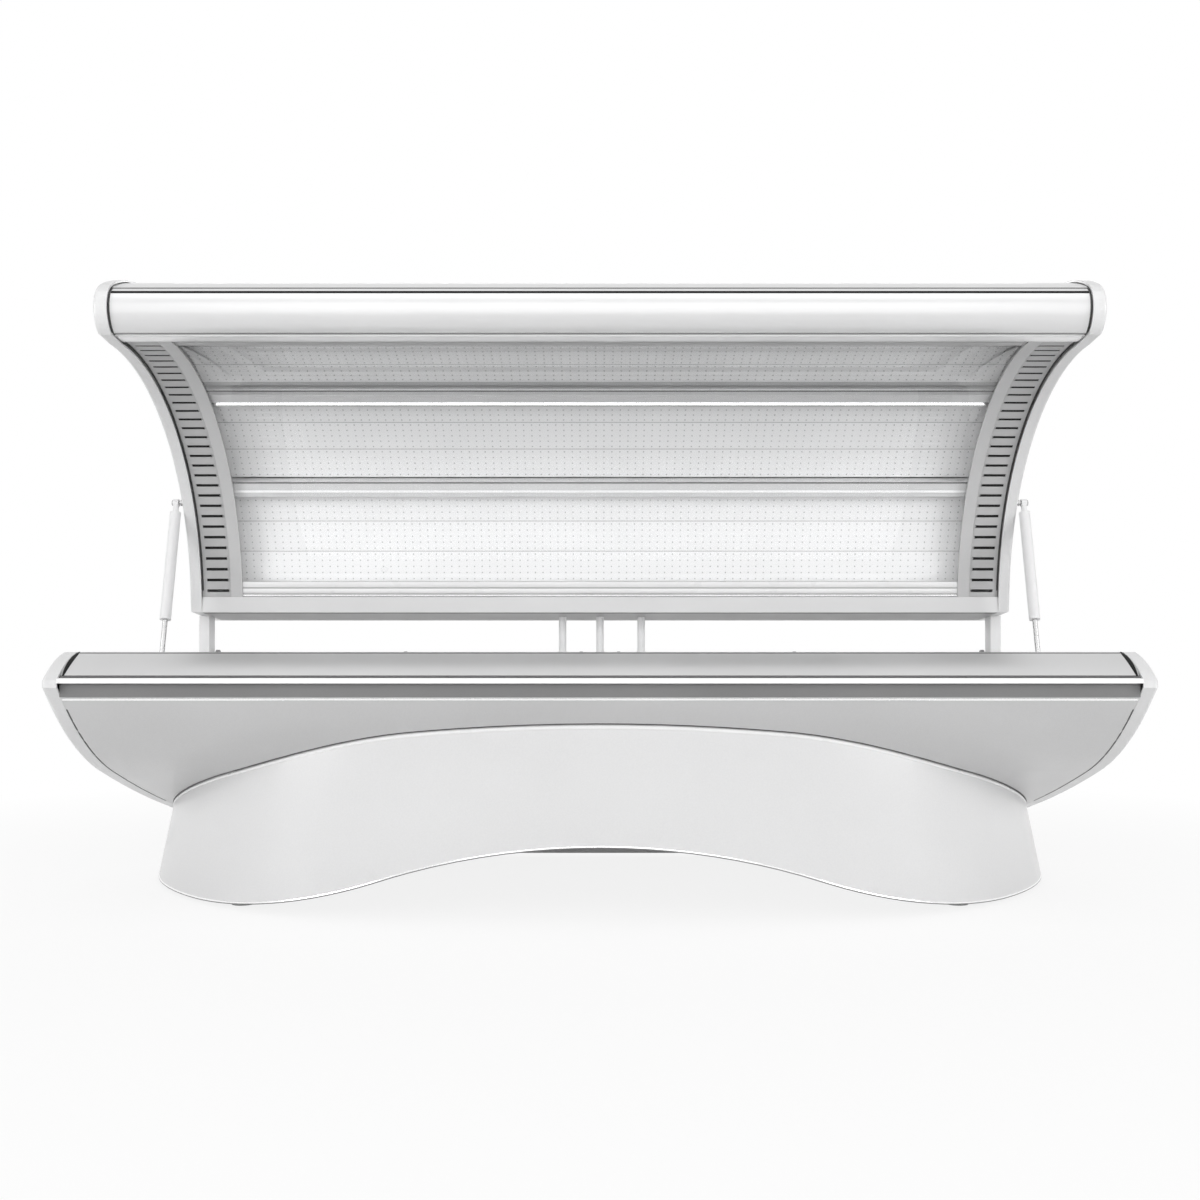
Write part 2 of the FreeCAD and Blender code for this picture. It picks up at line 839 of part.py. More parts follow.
WIDE = "(2 * fascia_half_width)"
plinth_outside = plinth_block("plinth_outside", "0")
plinth_inside = plinth_block("plinth_inside", "fascia_wall")
hull_above = offset_prism("hull_above", BED_SECTION, "fascia_reveal", f"-{WIDE} / 2", WIDE)

arch_radius = "(((arch_half_span / 2) ^ 2 + (arch_rise / 2) ^ 2) / arch_rise)"
arch_sketch = doc.addObject("Sketcher::SketchObject", "arch_outline")
arch_sketch.Placement = Placement(Vector(), Rotation(Vector(1, 0, 0), 90))
draw(
    arch_sketch,
    [
        ("-arch_half_span", "fascia_base"),
        ("-arch_half_span / 2", "fascia_base + arch_rise / 2", arch_radius),
        ("arch_half_span / 2", "fascia_base + arch_rise / 2", f"-{arch_radius}"),
        ("arch_half_span", "fascia_base", arch_radius),
        ("arch_half_span", "0"),
        ("-arch_half_span", "0"),
    ],
)
arch = extrusion("arch", arch_sketch, "fascia_end / 2", Vector(0, 1, 0))
behind_seam = box(
    "behind_seam",
    (f"-{WIDE} / 2", "fascia_end", "0"),
    (WIDE, "rear_cover_back", "2 * fascia_top"),
)
before_seam = box(
    "before_seam",
    (f"-{WIDE} / 2", "0", "0"),
    (WIDE, "fascia_end + seam_gap", "2 * fascia_top"),
)
bed_node(
    "plinth_front_fascia",
    cut("front_fascia", plinth_outside, plinth_inside, hull_above, arch, behind_seam),
)
inlet_hole = box(
    "inlet_hole",
    (
        "inlet_offset - inlet_half_width - fit_gap",
        "rear_cover_back - 2 * fascia_wall",
        "inlet_height - inlet_half_height - fit_gap",
    ),
    ("2 * (inlet_half_width + fit_gap)", "3 * fascia_wall", "2 * (inlet_half_height + fit_gap)"),
)
bed_node(
    "plinth_rear_cover",
    cut("rear_cover", plinth_outside, plinth_inside, hull_above, before_seam, inlet_hole),
)

# Leg frames that stand in the plinth and carry the hull, on levelling feet
leg_space = plinth_block("leg_space", "(fascia_wall + fit_gap)")
hull_seat = offset_prism("hull_seat", BED_SECTION, "fit_gap", f"-{WIDE} / 2", WIDE)
leg_plate = box(
    "leg_plate",
    ("rib_outer_offset - leg_plate / 2", "0", "leg_base"),
    ("leg_plate", "rear_cover_back", "fascia_top - leg_base"),
)
leg_rail = box(
    "leg_rail",
    ("rib_outer_offset - leg_rail_width / 2", "0", "leg_base"),
    ("leg_rail_width", "rear_cover_back", "leg_rail_height"),
)
leg_blank = common("leg_blank", fused("leg_parts", [leg_plate, leg_rail]), leg_space)
both_ends(bed_node, "leg_frame", cut("leg", leg_blank, hull_seat))
feet = []
for side, sign in SIDES:
    for end in ("front", "rear"):
        spot = (f"{sign}rib_outer_offset", f"foot_{end}")
        disc = cylinder(f"foot_disc_{end}_{side}", "foot_radius", "foot_thick", spot + ("0",))
        stem = cylinder(f"foot_stem_{end}_{side}", "foot_stem_radius", "leg_base", spot + ("0",))
        feet.append(fused(f"foot_{end}_{side}", [disc, stem]))
bed_node("levelling_feet", group("levelling_feet", feet))

# Canopy section: rails with radial inner walls, the shell between them and the caps
RAIL_INNER = "(canopy_inner_radius - rail_inset)"
FRONT_RAIL_LINE = [
    polar("canopy_outer_radius", "-shell_front_angle"),
    ("-brow_depth", "brow_height", "brow_radius"),
    ("-nose_depth", "nose_height", "nose_radius"),
    ("-chin_depth", "chin_height", "chin_radius"),
    ("-lip_depth", "lip_height", "lip_radius"),
    polar(RAIL_INNER, "-front_wall_angle"),
    polar("rail_seat_radius", "-front_wall_angle"),
    polar("rail_seat_radius", "-shell_front_angle"),
]
REAR_LINE = [
    polar(RAIL_INNER, "rear_wall_angle"),
    ("heel_depth", "heel_height"),
    ("tail_depth", "tail_height"),
    polar("canopy_outer_radius", "shell_rear_angle"),
    polar("rail_seat_radius", "shell_rear_angle"),
    polar("rail_seat_radius", "rear_wall_angle"),
]
CAP_INNER = f"({RAIL_INNER} - canopy_cap_lip)"
CAP_OUTER = "(canopy_outer_radius + canopy_cap_lip)"
CANOPY_CAP_LINE = [
    polar(CAP_INNER, "-front_wall_angle"),
    polar(CAP_INNER, "rear_wall_angle") + (f"-{CAP_INNER}",),
    ("heel_depth", "heel_height"),
    ("tail_depth", "tail_height"),
    polar(CAP_OUTER, "shell_rear_angle"),
    polar(CAP_OUTER, "-shell_front_angle") + (CAP_OUTER,),
    ("-(brow_depth + canopy_cap_lip)", "brow_height", "brow_radius"),
    ("-(nose_depth + canopy_cap_lip)", "nose_height", "nose_radius"),
    ("-(chin_depth + canopy_cap_lip)", "chin_height - canopy_cap_lip", "chin_radius"),
    ("-lip_depth", "lip_height - canopy_cap_lip", "lip_radius"),
]
both_ends(canopy_node, "canopy_end_cap", end_cap("canopy_cap", CANOPY_CAP_LINE))
canopy_node(
    "canopy_front_rail",
    tube_prism("canopy_front_rail", FRONT_RAIL_LINE, "canopy_wall", "-inner_half", INNER_LENGTH),
)
canopy_node(
    "canopy_rear_rail",
    tube_prism("canopy_rear_rail", REAR_LINE, "canopy_wall", "-inner_half", INNER_LENGTH),
)


def at_angle(name, piece, angle):
    """Turn a canopy piece from the top of the arc to an angle towards the back."""
    return tilt(group(name, [piece]), f"-({angle})")


SHELL_INNER = "(canopy_outer_radius - canopy_wall)"
shell_sheet = prism(
    "shell_sheet",
    band(SHELL_INNER, "canopy_outer_radius", "-shell_front_angle", "shell_rear_angle"),
    "-inner_half",
    INNER_LENGTH,
)
shell_fan_holes = [
    at_angle(
        f"shell_fan_hole_{side}",
        cylinder(
            f"shell_fan_bore_{side}",
            "fan_bore",
            "10 * canopy_wall",
            (f"{sign}fan_offset", "0", "canopy_outer_radius - 5 * canopy_wall"),
        ),
        "canopy_fan_angle",
    )
    for side, sign in SIDES
]
canopy_node("canopy_shell", cut("canopy_shell", shell_sheet, *shell_fan_holes))

# Vent strips, channels and the clear sheet that face the user
VENT_START = "(inner_half - vent_width)"
FRONT_EDGE = "-front_wall_angle"
BACK_EDGE = "rear_wall_angle"
vent_sheet = prism(
    "vent_sheet",
    band("canopy_inner_radius", "(canopy_inner_radius + strip_thick)", FRONT_EDGE, BACK_EDGE),
    VENT_START,
    "vent_width",
)
vent_slot = box(
    "vent_slot",
    (f"{VENT_START} + slot_inset", "-slot_width / 2", "canopy_inner_radius - 5 * strip_thick"),
    ("slot_length", "slot_width", "10 * strip_thick"),
)
both_ends(
    canopy_node,
    "canopy_vent_strip",
    slotted("canopy_vents", vent_sheet, vent_slot, "slot_count", "slot_angle", "slot_centre_angle"),
)
CHANNEL_INNER = "(canopy_inner_radius - channel_inset)"
channel = prism(
    "channel",
    band(CHANNEL_INNER, f"({CHANNEL_INNER} + channel_thick)", FRONT_EDGE, BACK_EDGE),
    f"{VENT_START} - channel_width",
    "channel_width",
)
canopy_node("acrylic_channels", group("acrylic_channels", [channel, mirrored("channel_left", channel)]))
ACRYLIC_INNER = f"({CHANNEL_INNER} + channel_thick + fit_gap)"
canopy_sheet = prism(
    "canopy_acrylic",
    band(ACRYLIC_INNER, f"({ACRYLIC_INNER} + acrylic_thick)", FRONT_EDGE, BACK_EDGE),
    f"acrylic_edge - {VENT_START}",
    f"2 * ({VENT_START} - acrylic_edge)",
)
canopy_node("canopy_acrylic", canopy_sheet)

# Canopy light boards, the ridges between their modules and the ribs behind them
canopy_board_width = board_width("board_radius", "board_angle")
canopy_board = box(
    "canopy_board",
    ("-board_half", f"-{canopy_board_width} / 2", "board_radius"),
    ("2 * board_half", canopy_board_width, "board_thick"),
)
RIB_INNER = board_back("board_radius", "board_angle")
RIDGE_TOP = f"(sqrt({RIB_INNER} ^ 2 - ridge_half ^ 2) - fit_gap)"
RIDGE_FOOT = "ridge_radius + ridge_lip_thick"
ridge_line = [
    ("-(ridge_half + ridge_lip)", "ridge_radius"),
    ("ridge_half + ridge_lip", "ridge_radius"),
    ("ridge_half + ridge_lip", RIDGE_FOOT),
    ("ridge_half", RIDGE_FOOT),
    ("ridge_half", RIDGE_TOP),
    ("ridge_half - ridge_wall", RIDGE_TOP),
    ("ridge_half - ridge_wall", RIDGE_FOOT),
    ("ridge_wall - ridge_half", RIDGE_FOOT),
    ("ridge_wall - ridge_half", RIDGE_TOP),
    ("-ridge_half", RIDGE_TOP),
    ("-ridge_half", RIDGE_FOOT),
    ("-(ridge_half + ridge_lip)", RIDGE_FOOT),
]
ridge = prism("ridge", ridge_line, "-board_half", "2 * board_half")
ridges = []
for module, level in enumerate(("upper", "middle", "lower")):
    ridge_angle = f"first_ridge_angle + {module} * module_angle"
    ridges.append(at_angle(f"ridge_{level}", ridge, ridge_angle))
    boards = [
        at_angle(
            f"canopy_board_{level}_{index}",
            canopy_board,
            f"{ridge_angle} + module_angle / 2 + {index - 1} * board_angle",
        )
        for index in range(3)
    ]
    canopy_node(f"canopy_led_module_{level}", group(f"canopy_module_{level}", boards))
canopy_node("canopy_led_ridges", group("canopy_led_ridges", ridges))

RIB_OUTER = f"({SHELL_INNER} - fit_gap)"
RIB_FRONT = "(fit_angle - front_wall_angle)"
RIB_BACK = "(rear_wall_angle - fit_angle)"
RIB_SHOULDER = "(fit_angle - shell_front_angle)"
rib_line = [
    polar(RIB_INNER, RIB_FRONT),
    polar(RIB_INNER, RIB_BACK) + (f"-{RIB_INNER}",),
    polar(RIB_OUTER, RIB_BACK),
    polar(RIB_OUTER, RIB_SHOULDER) + (RIB_OUTER,),
    polar("rail_seat_radius - fit_gap", RIB_SHOULDER),
    polar("rail_seat_radius - fit_gap", RIB_FRONT),
]
arch_ribs = [
    prism(
        f"canopy_rib_{place_name}_{side}",
        rib_line,
        f"{sign}rib_{place_name}_offset - rib_thick / 2",
        "rib_thick",
    )
    for place_name in ("inner", "outer")
    for side, sign in SIDES
]
canopy_node("canopy_ribs", group("canopy_ribs", arch_ribs))

# Hinge: a rod in ears on the rear rail, two end arms and three centre tubes of the canopy on it
HINGE_U = "(hinge_depth - canopy_depth)"
HINGE_V = "(hinge_height - canopy_height)"
ROD_HALF = "(bed_half_length - hinge_rod_inset)"
hinge_rod = cylinder(
    "hinge_bar",
    "hinge_rod_radius",
    f"2 * {ROD_HALF}",
    (f"-{ROD_HALF}", "hinge_depth", "hinge_height"),
    ALONG_X,
)
bed_node("hinge_rod", group("hinge_rod", [hinge_rod]))
ears = []
for position, kind in (("end", "end"), ("middle", "centre"), ("centre", "centre")):
    for side, sign in SIDES:
        start = f"{sign}{position}_ear_offset - ear_thick / 2"
        radius = f"{kind}_ear_radius"
        web = box(
            f"ear_web_{position}_{side}",
            (start, f"hinge_depth - {radius}", "rear_rail_top"),
            ("ear_thick", f"2 * {radius}", "hinge_height - rear_rail_top"),
        )
        eye = cylinder(
            f"ear_eye_{position}_{side}",
            radius,
            "ear_thick",
            (start, "hinge_depth", "hinge_height"),
            ALONG_X,
        )
        ears.append(fused(f"ear_{position}_{side}", [web, eye]))
ear_bore = cylinder(
    "ear_bore",
    "hinge_rod_radius + run_gap",
    f"2 * {ROD_HALF}",
    (f"-{ROD_HALF}", "hinge_depth", "hinge_height"),
    ALONG_X,
)
bed_node("hinge_brackets", cut("hinge_ears", group("hinge_ear_blanks", ears), ear_bore))


def on_hinge(name, members):
    """Stand pieces that are upright in the open pose on the hinge axis of the closed canopy."""
    return place(tilt(fused(name, members), "open_angle"), "0", HINGE_U, HINGE_V)


arm_bore = cylinder(
    "arm_bore", "hinge_rod_radius + run_gap", INNER_LENGTH, ("-inner_half", HINGE_U, HINGE_V), ALONG_X
)
end_bore = cylinder(
    "end_bore",
    "hinge_rod_radius + run_gap",
    f"{ROD_HALF} + fit_gap",
    ("0", HINGE_U, HINGE_V),
    ALONG_X,
)
ARM_START = "(inner_half + arm_gap)"
arm_web = box(
    "arm_web",
    (ARM_START, "-arm_radius", "0"),
    ("cap_thick - arm_gap", "2 * arm_radius", "arm_reach"),
)
arm_eye = cylinder("arm_eye", "arm_radius", "cap_thick - arm_gap", (ARM_START, "0", "0"), ALONG_X)
cap_space = offset_prism("cap_space", CANOPY_CAP_LINE, "fit_gap", "inner_half", "2 * cap_thick")
arm = cut("hinge_arm", on_hinge("arm_blank", [arm_web, arm_eye]), cap_space, end_bore)
both_ends(canopy_node, "hinge_arm", arm)

rear_rail_space = offset_prism("rear_rail_space", REAR_LINE, "fit_gap", "-inner_half", INNER_LENGTH)
tubes = []
for spot, offset in (("left", "tube_left_offset"), ("middle", "0"), ("right", "tube_right_offset")):
    post = cylinder(f"tube_post_{spot}", "tube_radius", "tube_reach", (offset, "0", "0"))
    eye = cylinder(
        f"tube_eye_{spot}",
        "tube_eye_radius",
        "tube_eye_length",
        (f"{offset} - tube_eye_length / 2", "0", "0"),
        ALONG_X,
    )
    blank = on_hinge(f"tube_blank_{spot}", [post, eye])
    tubes.append(cut(f"tube_{spot}", blank, rear_rail_space, arm_bore))
canopy_node("centre_arms", group("centre_arms", tubes))

# Gas struts, drawn along -Z from the upper eye
STRUT_X = "(bed_half_length + strut_offset)"
EYE_RUN = "(strut_upper_depth * cos(open_angle) + strut_upper_height * sin(open_angle))"
EYE_RISE = "(strut_upper_height * cos(open_angle) - strut_upper_depth * sin(open_angle))"
UPPER_DEPTH = f"({OPEN_DEPTH} + {EYE_RUN})"
UPPER_HEIGHT = f"({OPEN_HEIGHT} + {EYE_RISE})"
STRUT_RUN = f"(strut_lower_depth - {UPPER_DEPTH})"
STRUT_DROP = f"({UPPER_HEIGHT} - strut_lower_height)"
STRUT_LENGTH = f"sqrt({STRUT_RUN} ^ 2 + {STRUT_DROP} ^ 2)"
TUBE_END = "(strut_neck + strut_tube_length)"


def strut_node(label, thing, sign):
    tilt(thing, f"atan2({STRUT_RUN}; {STRUT_DROP})")
    place(thing, f"{sign}{STRUT_X}", f"{UPPER_DEPTH} - half_depth", UPPER_HEIGHT)
    return keep(label, thing)


def strut_pair(label, piece):
    strut_node(f"{label}_left", mirrored(f"{label}_left", group(f"{label}_pattern", [piece])), "-")
    strut_node(f"{label}_right", group(f"{label}_right", [piece]), "")


def strut_eye(name, height):
    low = ("-strut_eye_half", "0", height)
    return cylinder(name, "strut_eye_radius", "2 * strut_eye_half", low, ALONG_X)


strut_body = fused(
    "strut_body",
    [
        strut_eye("strut_upper_eye", "0"),
        cylinder("strut_neck_rod", "strut_neck_radius", "strut_neck", ("0", "0", "-strut_neck")),
        cylinder("strut_barrel", "strut_radius", "strut_tube_length", ("0", "0", f"-{TUBE_END}")),
    ],
)
pin_hole = cylinder(
    "strut_pin_hole",
    "strut_pin_radius + run_gap",
    "4 * strut_eye_half",
    ("-2 * strut_eye_half", "0", "0"),
    ALONG_X,
)
rod_bore = cylinder(
    "strut_rod_bore",
    "strut_rod_radius + run_gap",
    "strut_tube_length - strut_end_wall",
    ("0", "0", f"-{TUBE_END}"),
)
strut_pair("strut_tube", cut("strut_tube", strut_body, pin_hole, rod_bore))
strut_rod = fused(
    "strut_rod",
    [
        cylinder(
            "strut_piston",
            "strut_rod_radius",
            f"{STRUT_LENGTH} - {TUBE_END} + strut_rod_insert",
            ("0", "0", f"-{STRUT_LENGTH}"),
        ),
        strut_eye("strut_lower_eye", f"-{STRUT_LENGTH}"),
        cylinder(
            "strut_lower_stud",
            "strut_pin_radius",
            "strut_offset - plate_thick - fit_gap",
            ("plate_thick + fit_gap - strut_offset", "0", f"-{STRUT_LENGTH}"),
            ALONG_X,
        ),
    ],
)
strut_pair("strut_rod", strut_rod)
UPPER_SPOT = ("bed_half_length", "strut_upper_depth", "strut_upper_height")
stud = fused(
    "strut_stud",
    [
        cylinder("stud_ring", "stud_collar_radius", "stud_collar", UPPER_SPOT, ALONG_X),
        cylinder(
            "stud_pin",
            "strut_pin_radius",
            "strut_offset + strut_eye_half + fit_gap + stud_head",
            UPPER_SPOT,
            ALONG_X,
        ),
        cylinder(
            "stud_head",
            "stud_head_radius",
            "stud_head",
            (f"{STRUT_X} + strut_eye_half + fit_gap",) + UPPER_SPOT[1:],
            ALONG_X,
        ),
    ],
)
canopy_node("strut_upper_studs", group("strut_upper_studs", [stud, mirrored("stud_left", stud)]))
plate = box(
    "strut_plate",
    ("bed_half_length", "strut_lower_depth - plate_half", "strut_lower_height - plate_half"),
    ("plate_thick", "2 * plate_half", "2 * plate_half"),
)
bed_node("strut_lower_plates", group("strut_lower_plates", [plate, mirrored("plate_left", plate)]))


# Fans, drawn around +Z from their mounting face

def fan_frame(name):
    block = box(
        f"{name}_block", ("-fan_half", "-fan_half", "0"), ("2 * fan_half", "2 * fan_half", "fan_depth")
    )
    bore = cylinder(f"{name}_bore", "fan_bore", "fan_depth", ("0", "0", "0"))
    spokes = [
        box(
            f"{name}_spoke_x",
            ("-fan_half", "-fan_spoke / 2", "0"),
            ("2 * fan_half", "fan_spoke", "fan_plate"),
        ),
        box(
            f"{name}_spoke_y",
            ("-fan_spoke / 2", "-fan_half", "0"),
            ("fan_spoke", "2 * fan_half", "fan_plate"),
        ),
    ]
    motor = cylinder(f"{name}_motor", "fan_hub_radius", "fan_plate", ("0", "0", "0"))
    pin = cylinder(f"{name}_pin", "fan_pin_radius", "fan_plate + fan_hub_length", ("0", "0", "0"))
    return fused(name, [cut(f"{name}_housing", block, bore), motor, pin] + spokes)


def fan_rotor(name):
    hub_base = "(fan_plate + fit_gap)"
    hub = cylinder(f"{name}_hub", "fan_hub_radius", "fan_hub_length", ("0", "0", hub_base))
    blade = box(
        f"{name}_blade",
        ("fan_hub_radius / 2", "-fan_blade_chord / 2", "-fan_blade_thick / 2"),
        ("fan_blade_reach", "fan_blade_chord", "fan_blade_thick"),
    )
    pitched = tilt(group(f"{name}_pitched", [blade]), "fan_blade_tilt")
    place(pitched, z=f"{hub_base} + fan_hub_length / 2")
    blades = []
    for index in range(int(value("fan_blade_count"))):
        turned = group(f"{name}_blade_{index}", [pitched])
        turned.Placement = Placement(Vector(), Rotation(Vector(0, 0, 1), 1))
        bind(turned, ".Placement.Rotation.Angle", f"{index} * 360 / fan_blade_count")
        blades.append(turned)
    sweep = cylinder(f"{name}_sweep", "fan_blade_reach", "fan_depth", ("0", "0", "0"))
    trimmed = [common(f"{name}_trimmed_{index}", turned, sweep) for index, turned in enumerate(blades)]
    bore = cylinder(f"{name}_bore", "fan_pin_radius + run_gap", "fan_depth", ("0", "0", "0"))
    return cut(name, fused(f"{name}_wheel", [hub] + trimmed), bore)


def fan_guard(name):
    rings = []
    for index in range(3):
        outer = f"(guard_radius * (1 - {index} / 3))"
        disc = cylinder(f"{name}_disc_{index}", outer, "guard_thick", ("0", "0", "0"))
        hole = cylinder(f"{name}_hole_{index}", f"{outer} - guard_ring", "guard_thick", ("0", "0", "0"))
        rings.append(cut(f"{name}_ring_{index}", disc, hole))
    bars = [
        box(
            f"{name}_bar_x",
            ("-guard_radius + guard_ring / 2", "-guard_ring / 2", "0"),
            ("2 * guard_radius - guard_ring", "guard_ring", "guard_thick"),
        ),
        box(
            f"{name}_bar_y",
            ("-guard_ring / 2", "-guard_radius + guard_ring / 2", "0"),
            ("guard_ring", "2 * guard_radius - guard_ring", "guard_thick"),
        ),
    ]
    return fused(name, rings + bars)


frame_shape = fan_frame("fan_frame")
rotor_shape = fan_rotor("fan_rotor")
guard_shape = fan_guard("fan_guard")
BED_FAN_HEIGHT = "keel_height + hull_wall"
CANOPY_FAN_HEIGHT = f"{SHELL_INNER} - canopy_fan_seat - fan_depth"


def bed_copy(name, shape, sign, height):
    return place(group(name, [shape]), f"{sign}fan_offset", KEEL_MIDDLE, height)


def canopy_copy(name, shape, sign, height):
    seated = place(group(f"{name}_seated", [shape]), f"{sign}fan_offset", "0", height)
    return at_angle(name, seated, "canopy_fan_angle")


for owner, keep_node, copy, height, guard_height in (
    ("bed", bed_node, bed_copy, BED_FAN_HEIGHT, "keel_height - guard_thick"),
    ("canopy", canopy_node, canopy_copy, CANOPY_FAN_HEIGHT, "canopy_outer_radius"),
):
    frames = [copy(f"{owner}_frame_{side}", frame_shape, sign, height) for side, sign in SIDES]
    keep_node(f"{owner}_fan_frames", group(f"{owner}_fan_frames", frames))
    guards = [copy(f"{owner}_guard_{side}", guard_shape, sign, guard_height) for side, sign in SIDES]
    keep_node(f"{owner}_fan_guards", group(f"{owner}_fan_guards", guards))
    for side, sign in SIDES:
        wheel = copy(f"{owner}_wheel_{side}", rotor_shape, sign, height)
        keep_node(f"{owner}_fan_rotor_{side}", group(f"{owner}_fan_rotor_{side}", [wheel]))

# Electrics on the keel and in the rear cover
drivers = [
    box(
        f"driver_{place_name}_{side}",
        (
            f"{sign}driver_{place_name}_offset - driver_length / 2",
            f"{KEEL_MIDDLE} - driver_width / 2",
            "keel_height + hull_wall",
        ),
        ("driver_length", "driver_width", "driver_height"),
    )
    for place_name in ("inner", "outer")
    for side, sign in SIDES
]
bed_node("led_drivers", group("led_drivers", drivers))
control = box(
    "control_box",
    ("-control_length / 2", f"{KEEL_MIDDLE} - control_width / 2", "keel_height + hull_wall"),
    ("control_length", "control_width", "control_height"),
)
bed_node("control_unit", group("control_unit", [control]))
inlet_flange = box(
    "inlet_flange_plate",
    (
        "inlet_offset - inlet_half_width - inlet_flange",
        "rear_cover_back",
        "inlet_height - inlet_half_height - inlet_flange",
    ),
    (
        "2 * (inlet_half_width + inlet_flange)",
        "inlet_flange_thick",
        "2 * (inlet_half_height + inlet_flange)",
    ),
)
inlet_body = box(
    "inlet_body_block",
    ("inlet_offset - inlet_half_width", "rear_cover_back - inlet_body", "inlet_height - inlet_half_height"),
    ("2 * inlet_half_width", "inlet_body", "2 * inlet_half_height"),
)
inlet_socket = box(
    "inlet_socket_space",
    (
        "inlet_offset - inlet_half_width + inlet_wall",
        "rear_cover_back + inlet_flange_thick - inlet_socket",
        "inlet_height - inlet_half_height + inlet_wall",
    ),
    ("2 * (inlet_half_width - inlet_wall)", "inlet_socket", "2 * (inlet_half_height - inlet_wall)"),
)
bed_node(
    "power_inlet",
    cut("power_inlet", fused("inlet_blank", [inlet_flange, inlet_body]), inlet_socket),
)

# Check every feature and piece, then write the pieces
doc.recompute()
failed = [thing.Name for thing in doc.Objects if {"Invalid", "Error"} & set(thing.State)]
failed += [thing.Label for thing in nodes if thing.Shape.isNull() or not thing.Shape.isValid()]
if failed:
    raise RuntimeError("failed: " + ", ".join(failed))
os.makedirs("parts", exist_ok=True)
for thing in nodes:
    thing.Shape.exportStep(f"parts/{thing.Label}.step")
print(len(nodes), "pieces written")
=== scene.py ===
import json
import math
from typing import NamedTuple

import bmesh
import bpy
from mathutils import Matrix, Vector


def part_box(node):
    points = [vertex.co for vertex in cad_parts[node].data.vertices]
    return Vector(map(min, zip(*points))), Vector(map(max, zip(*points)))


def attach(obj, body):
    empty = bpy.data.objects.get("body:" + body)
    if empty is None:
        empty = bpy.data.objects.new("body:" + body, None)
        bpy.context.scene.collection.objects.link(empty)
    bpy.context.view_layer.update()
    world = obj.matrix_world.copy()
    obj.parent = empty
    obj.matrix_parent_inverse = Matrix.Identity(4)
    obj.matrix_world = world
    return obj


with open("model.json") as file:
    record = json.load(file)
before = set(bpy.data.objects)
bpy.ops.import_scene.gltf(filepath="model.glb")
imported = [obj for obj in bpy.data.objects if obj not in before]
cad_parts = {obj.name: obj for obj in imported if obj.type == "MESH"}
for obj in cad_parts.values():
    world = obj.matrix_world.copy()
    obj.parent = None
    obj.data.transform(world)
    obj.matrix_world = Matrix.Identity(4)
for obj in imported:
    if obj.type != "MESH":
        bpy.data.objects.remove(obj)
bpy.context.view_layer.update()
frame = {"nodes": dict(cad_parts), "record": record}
nodes = frame["nodes"]
MM = 0.001
SIDES = (("left", -1), ("right", 1))
WHITE = (1, 1, 1, 1)


# Camera: level, at the height of the rim and square to the front

PHOTO_SIZE = 1200
PHOTO_MIDDLE = PHOTO_SIZE / 2
HORIZON_ROW = 655
FOCAL_PIXELS = 1261
SENSOR = 36.0
EYE_BACK = 2.4
EYE_HEIGHT = 0.530

eye = Vector((0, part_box("front_rail_trim")[0].y - EYE_BACK, EYE_HEIGHT))
lens = bpy.data.cameras.new("camera")
lens.sensor_width = SENSOR
lens.lens = SENSOR * FOCAL_PIXELS / PHOTO_SIZE
lens.shift_y = (HORIZON_ROW - PHOTO_MIDDLE) / PHOTO_SIZE
camera = bpy.data.objects.new("camera", lens)
camera.location = eye
camera.rotation_euler = (math.pi / 2, 0, 0)
bpy.context.scene.collection.objects.link(camera)
bpy.context.scene.camera = camera


# Materials: one Principled shader each, with pattern nodes in the row frame's metres

EDGE_RADIUS = 1.6 * MM
PATTERN_LOW = 0.3
PATTERN_HIGH = 0.7
BLUE_SHARE = 1.004
FLAKE_DARK = 0.92
FLAKE_BRIGHT = 1.06
SPECK_DARK = 0.97


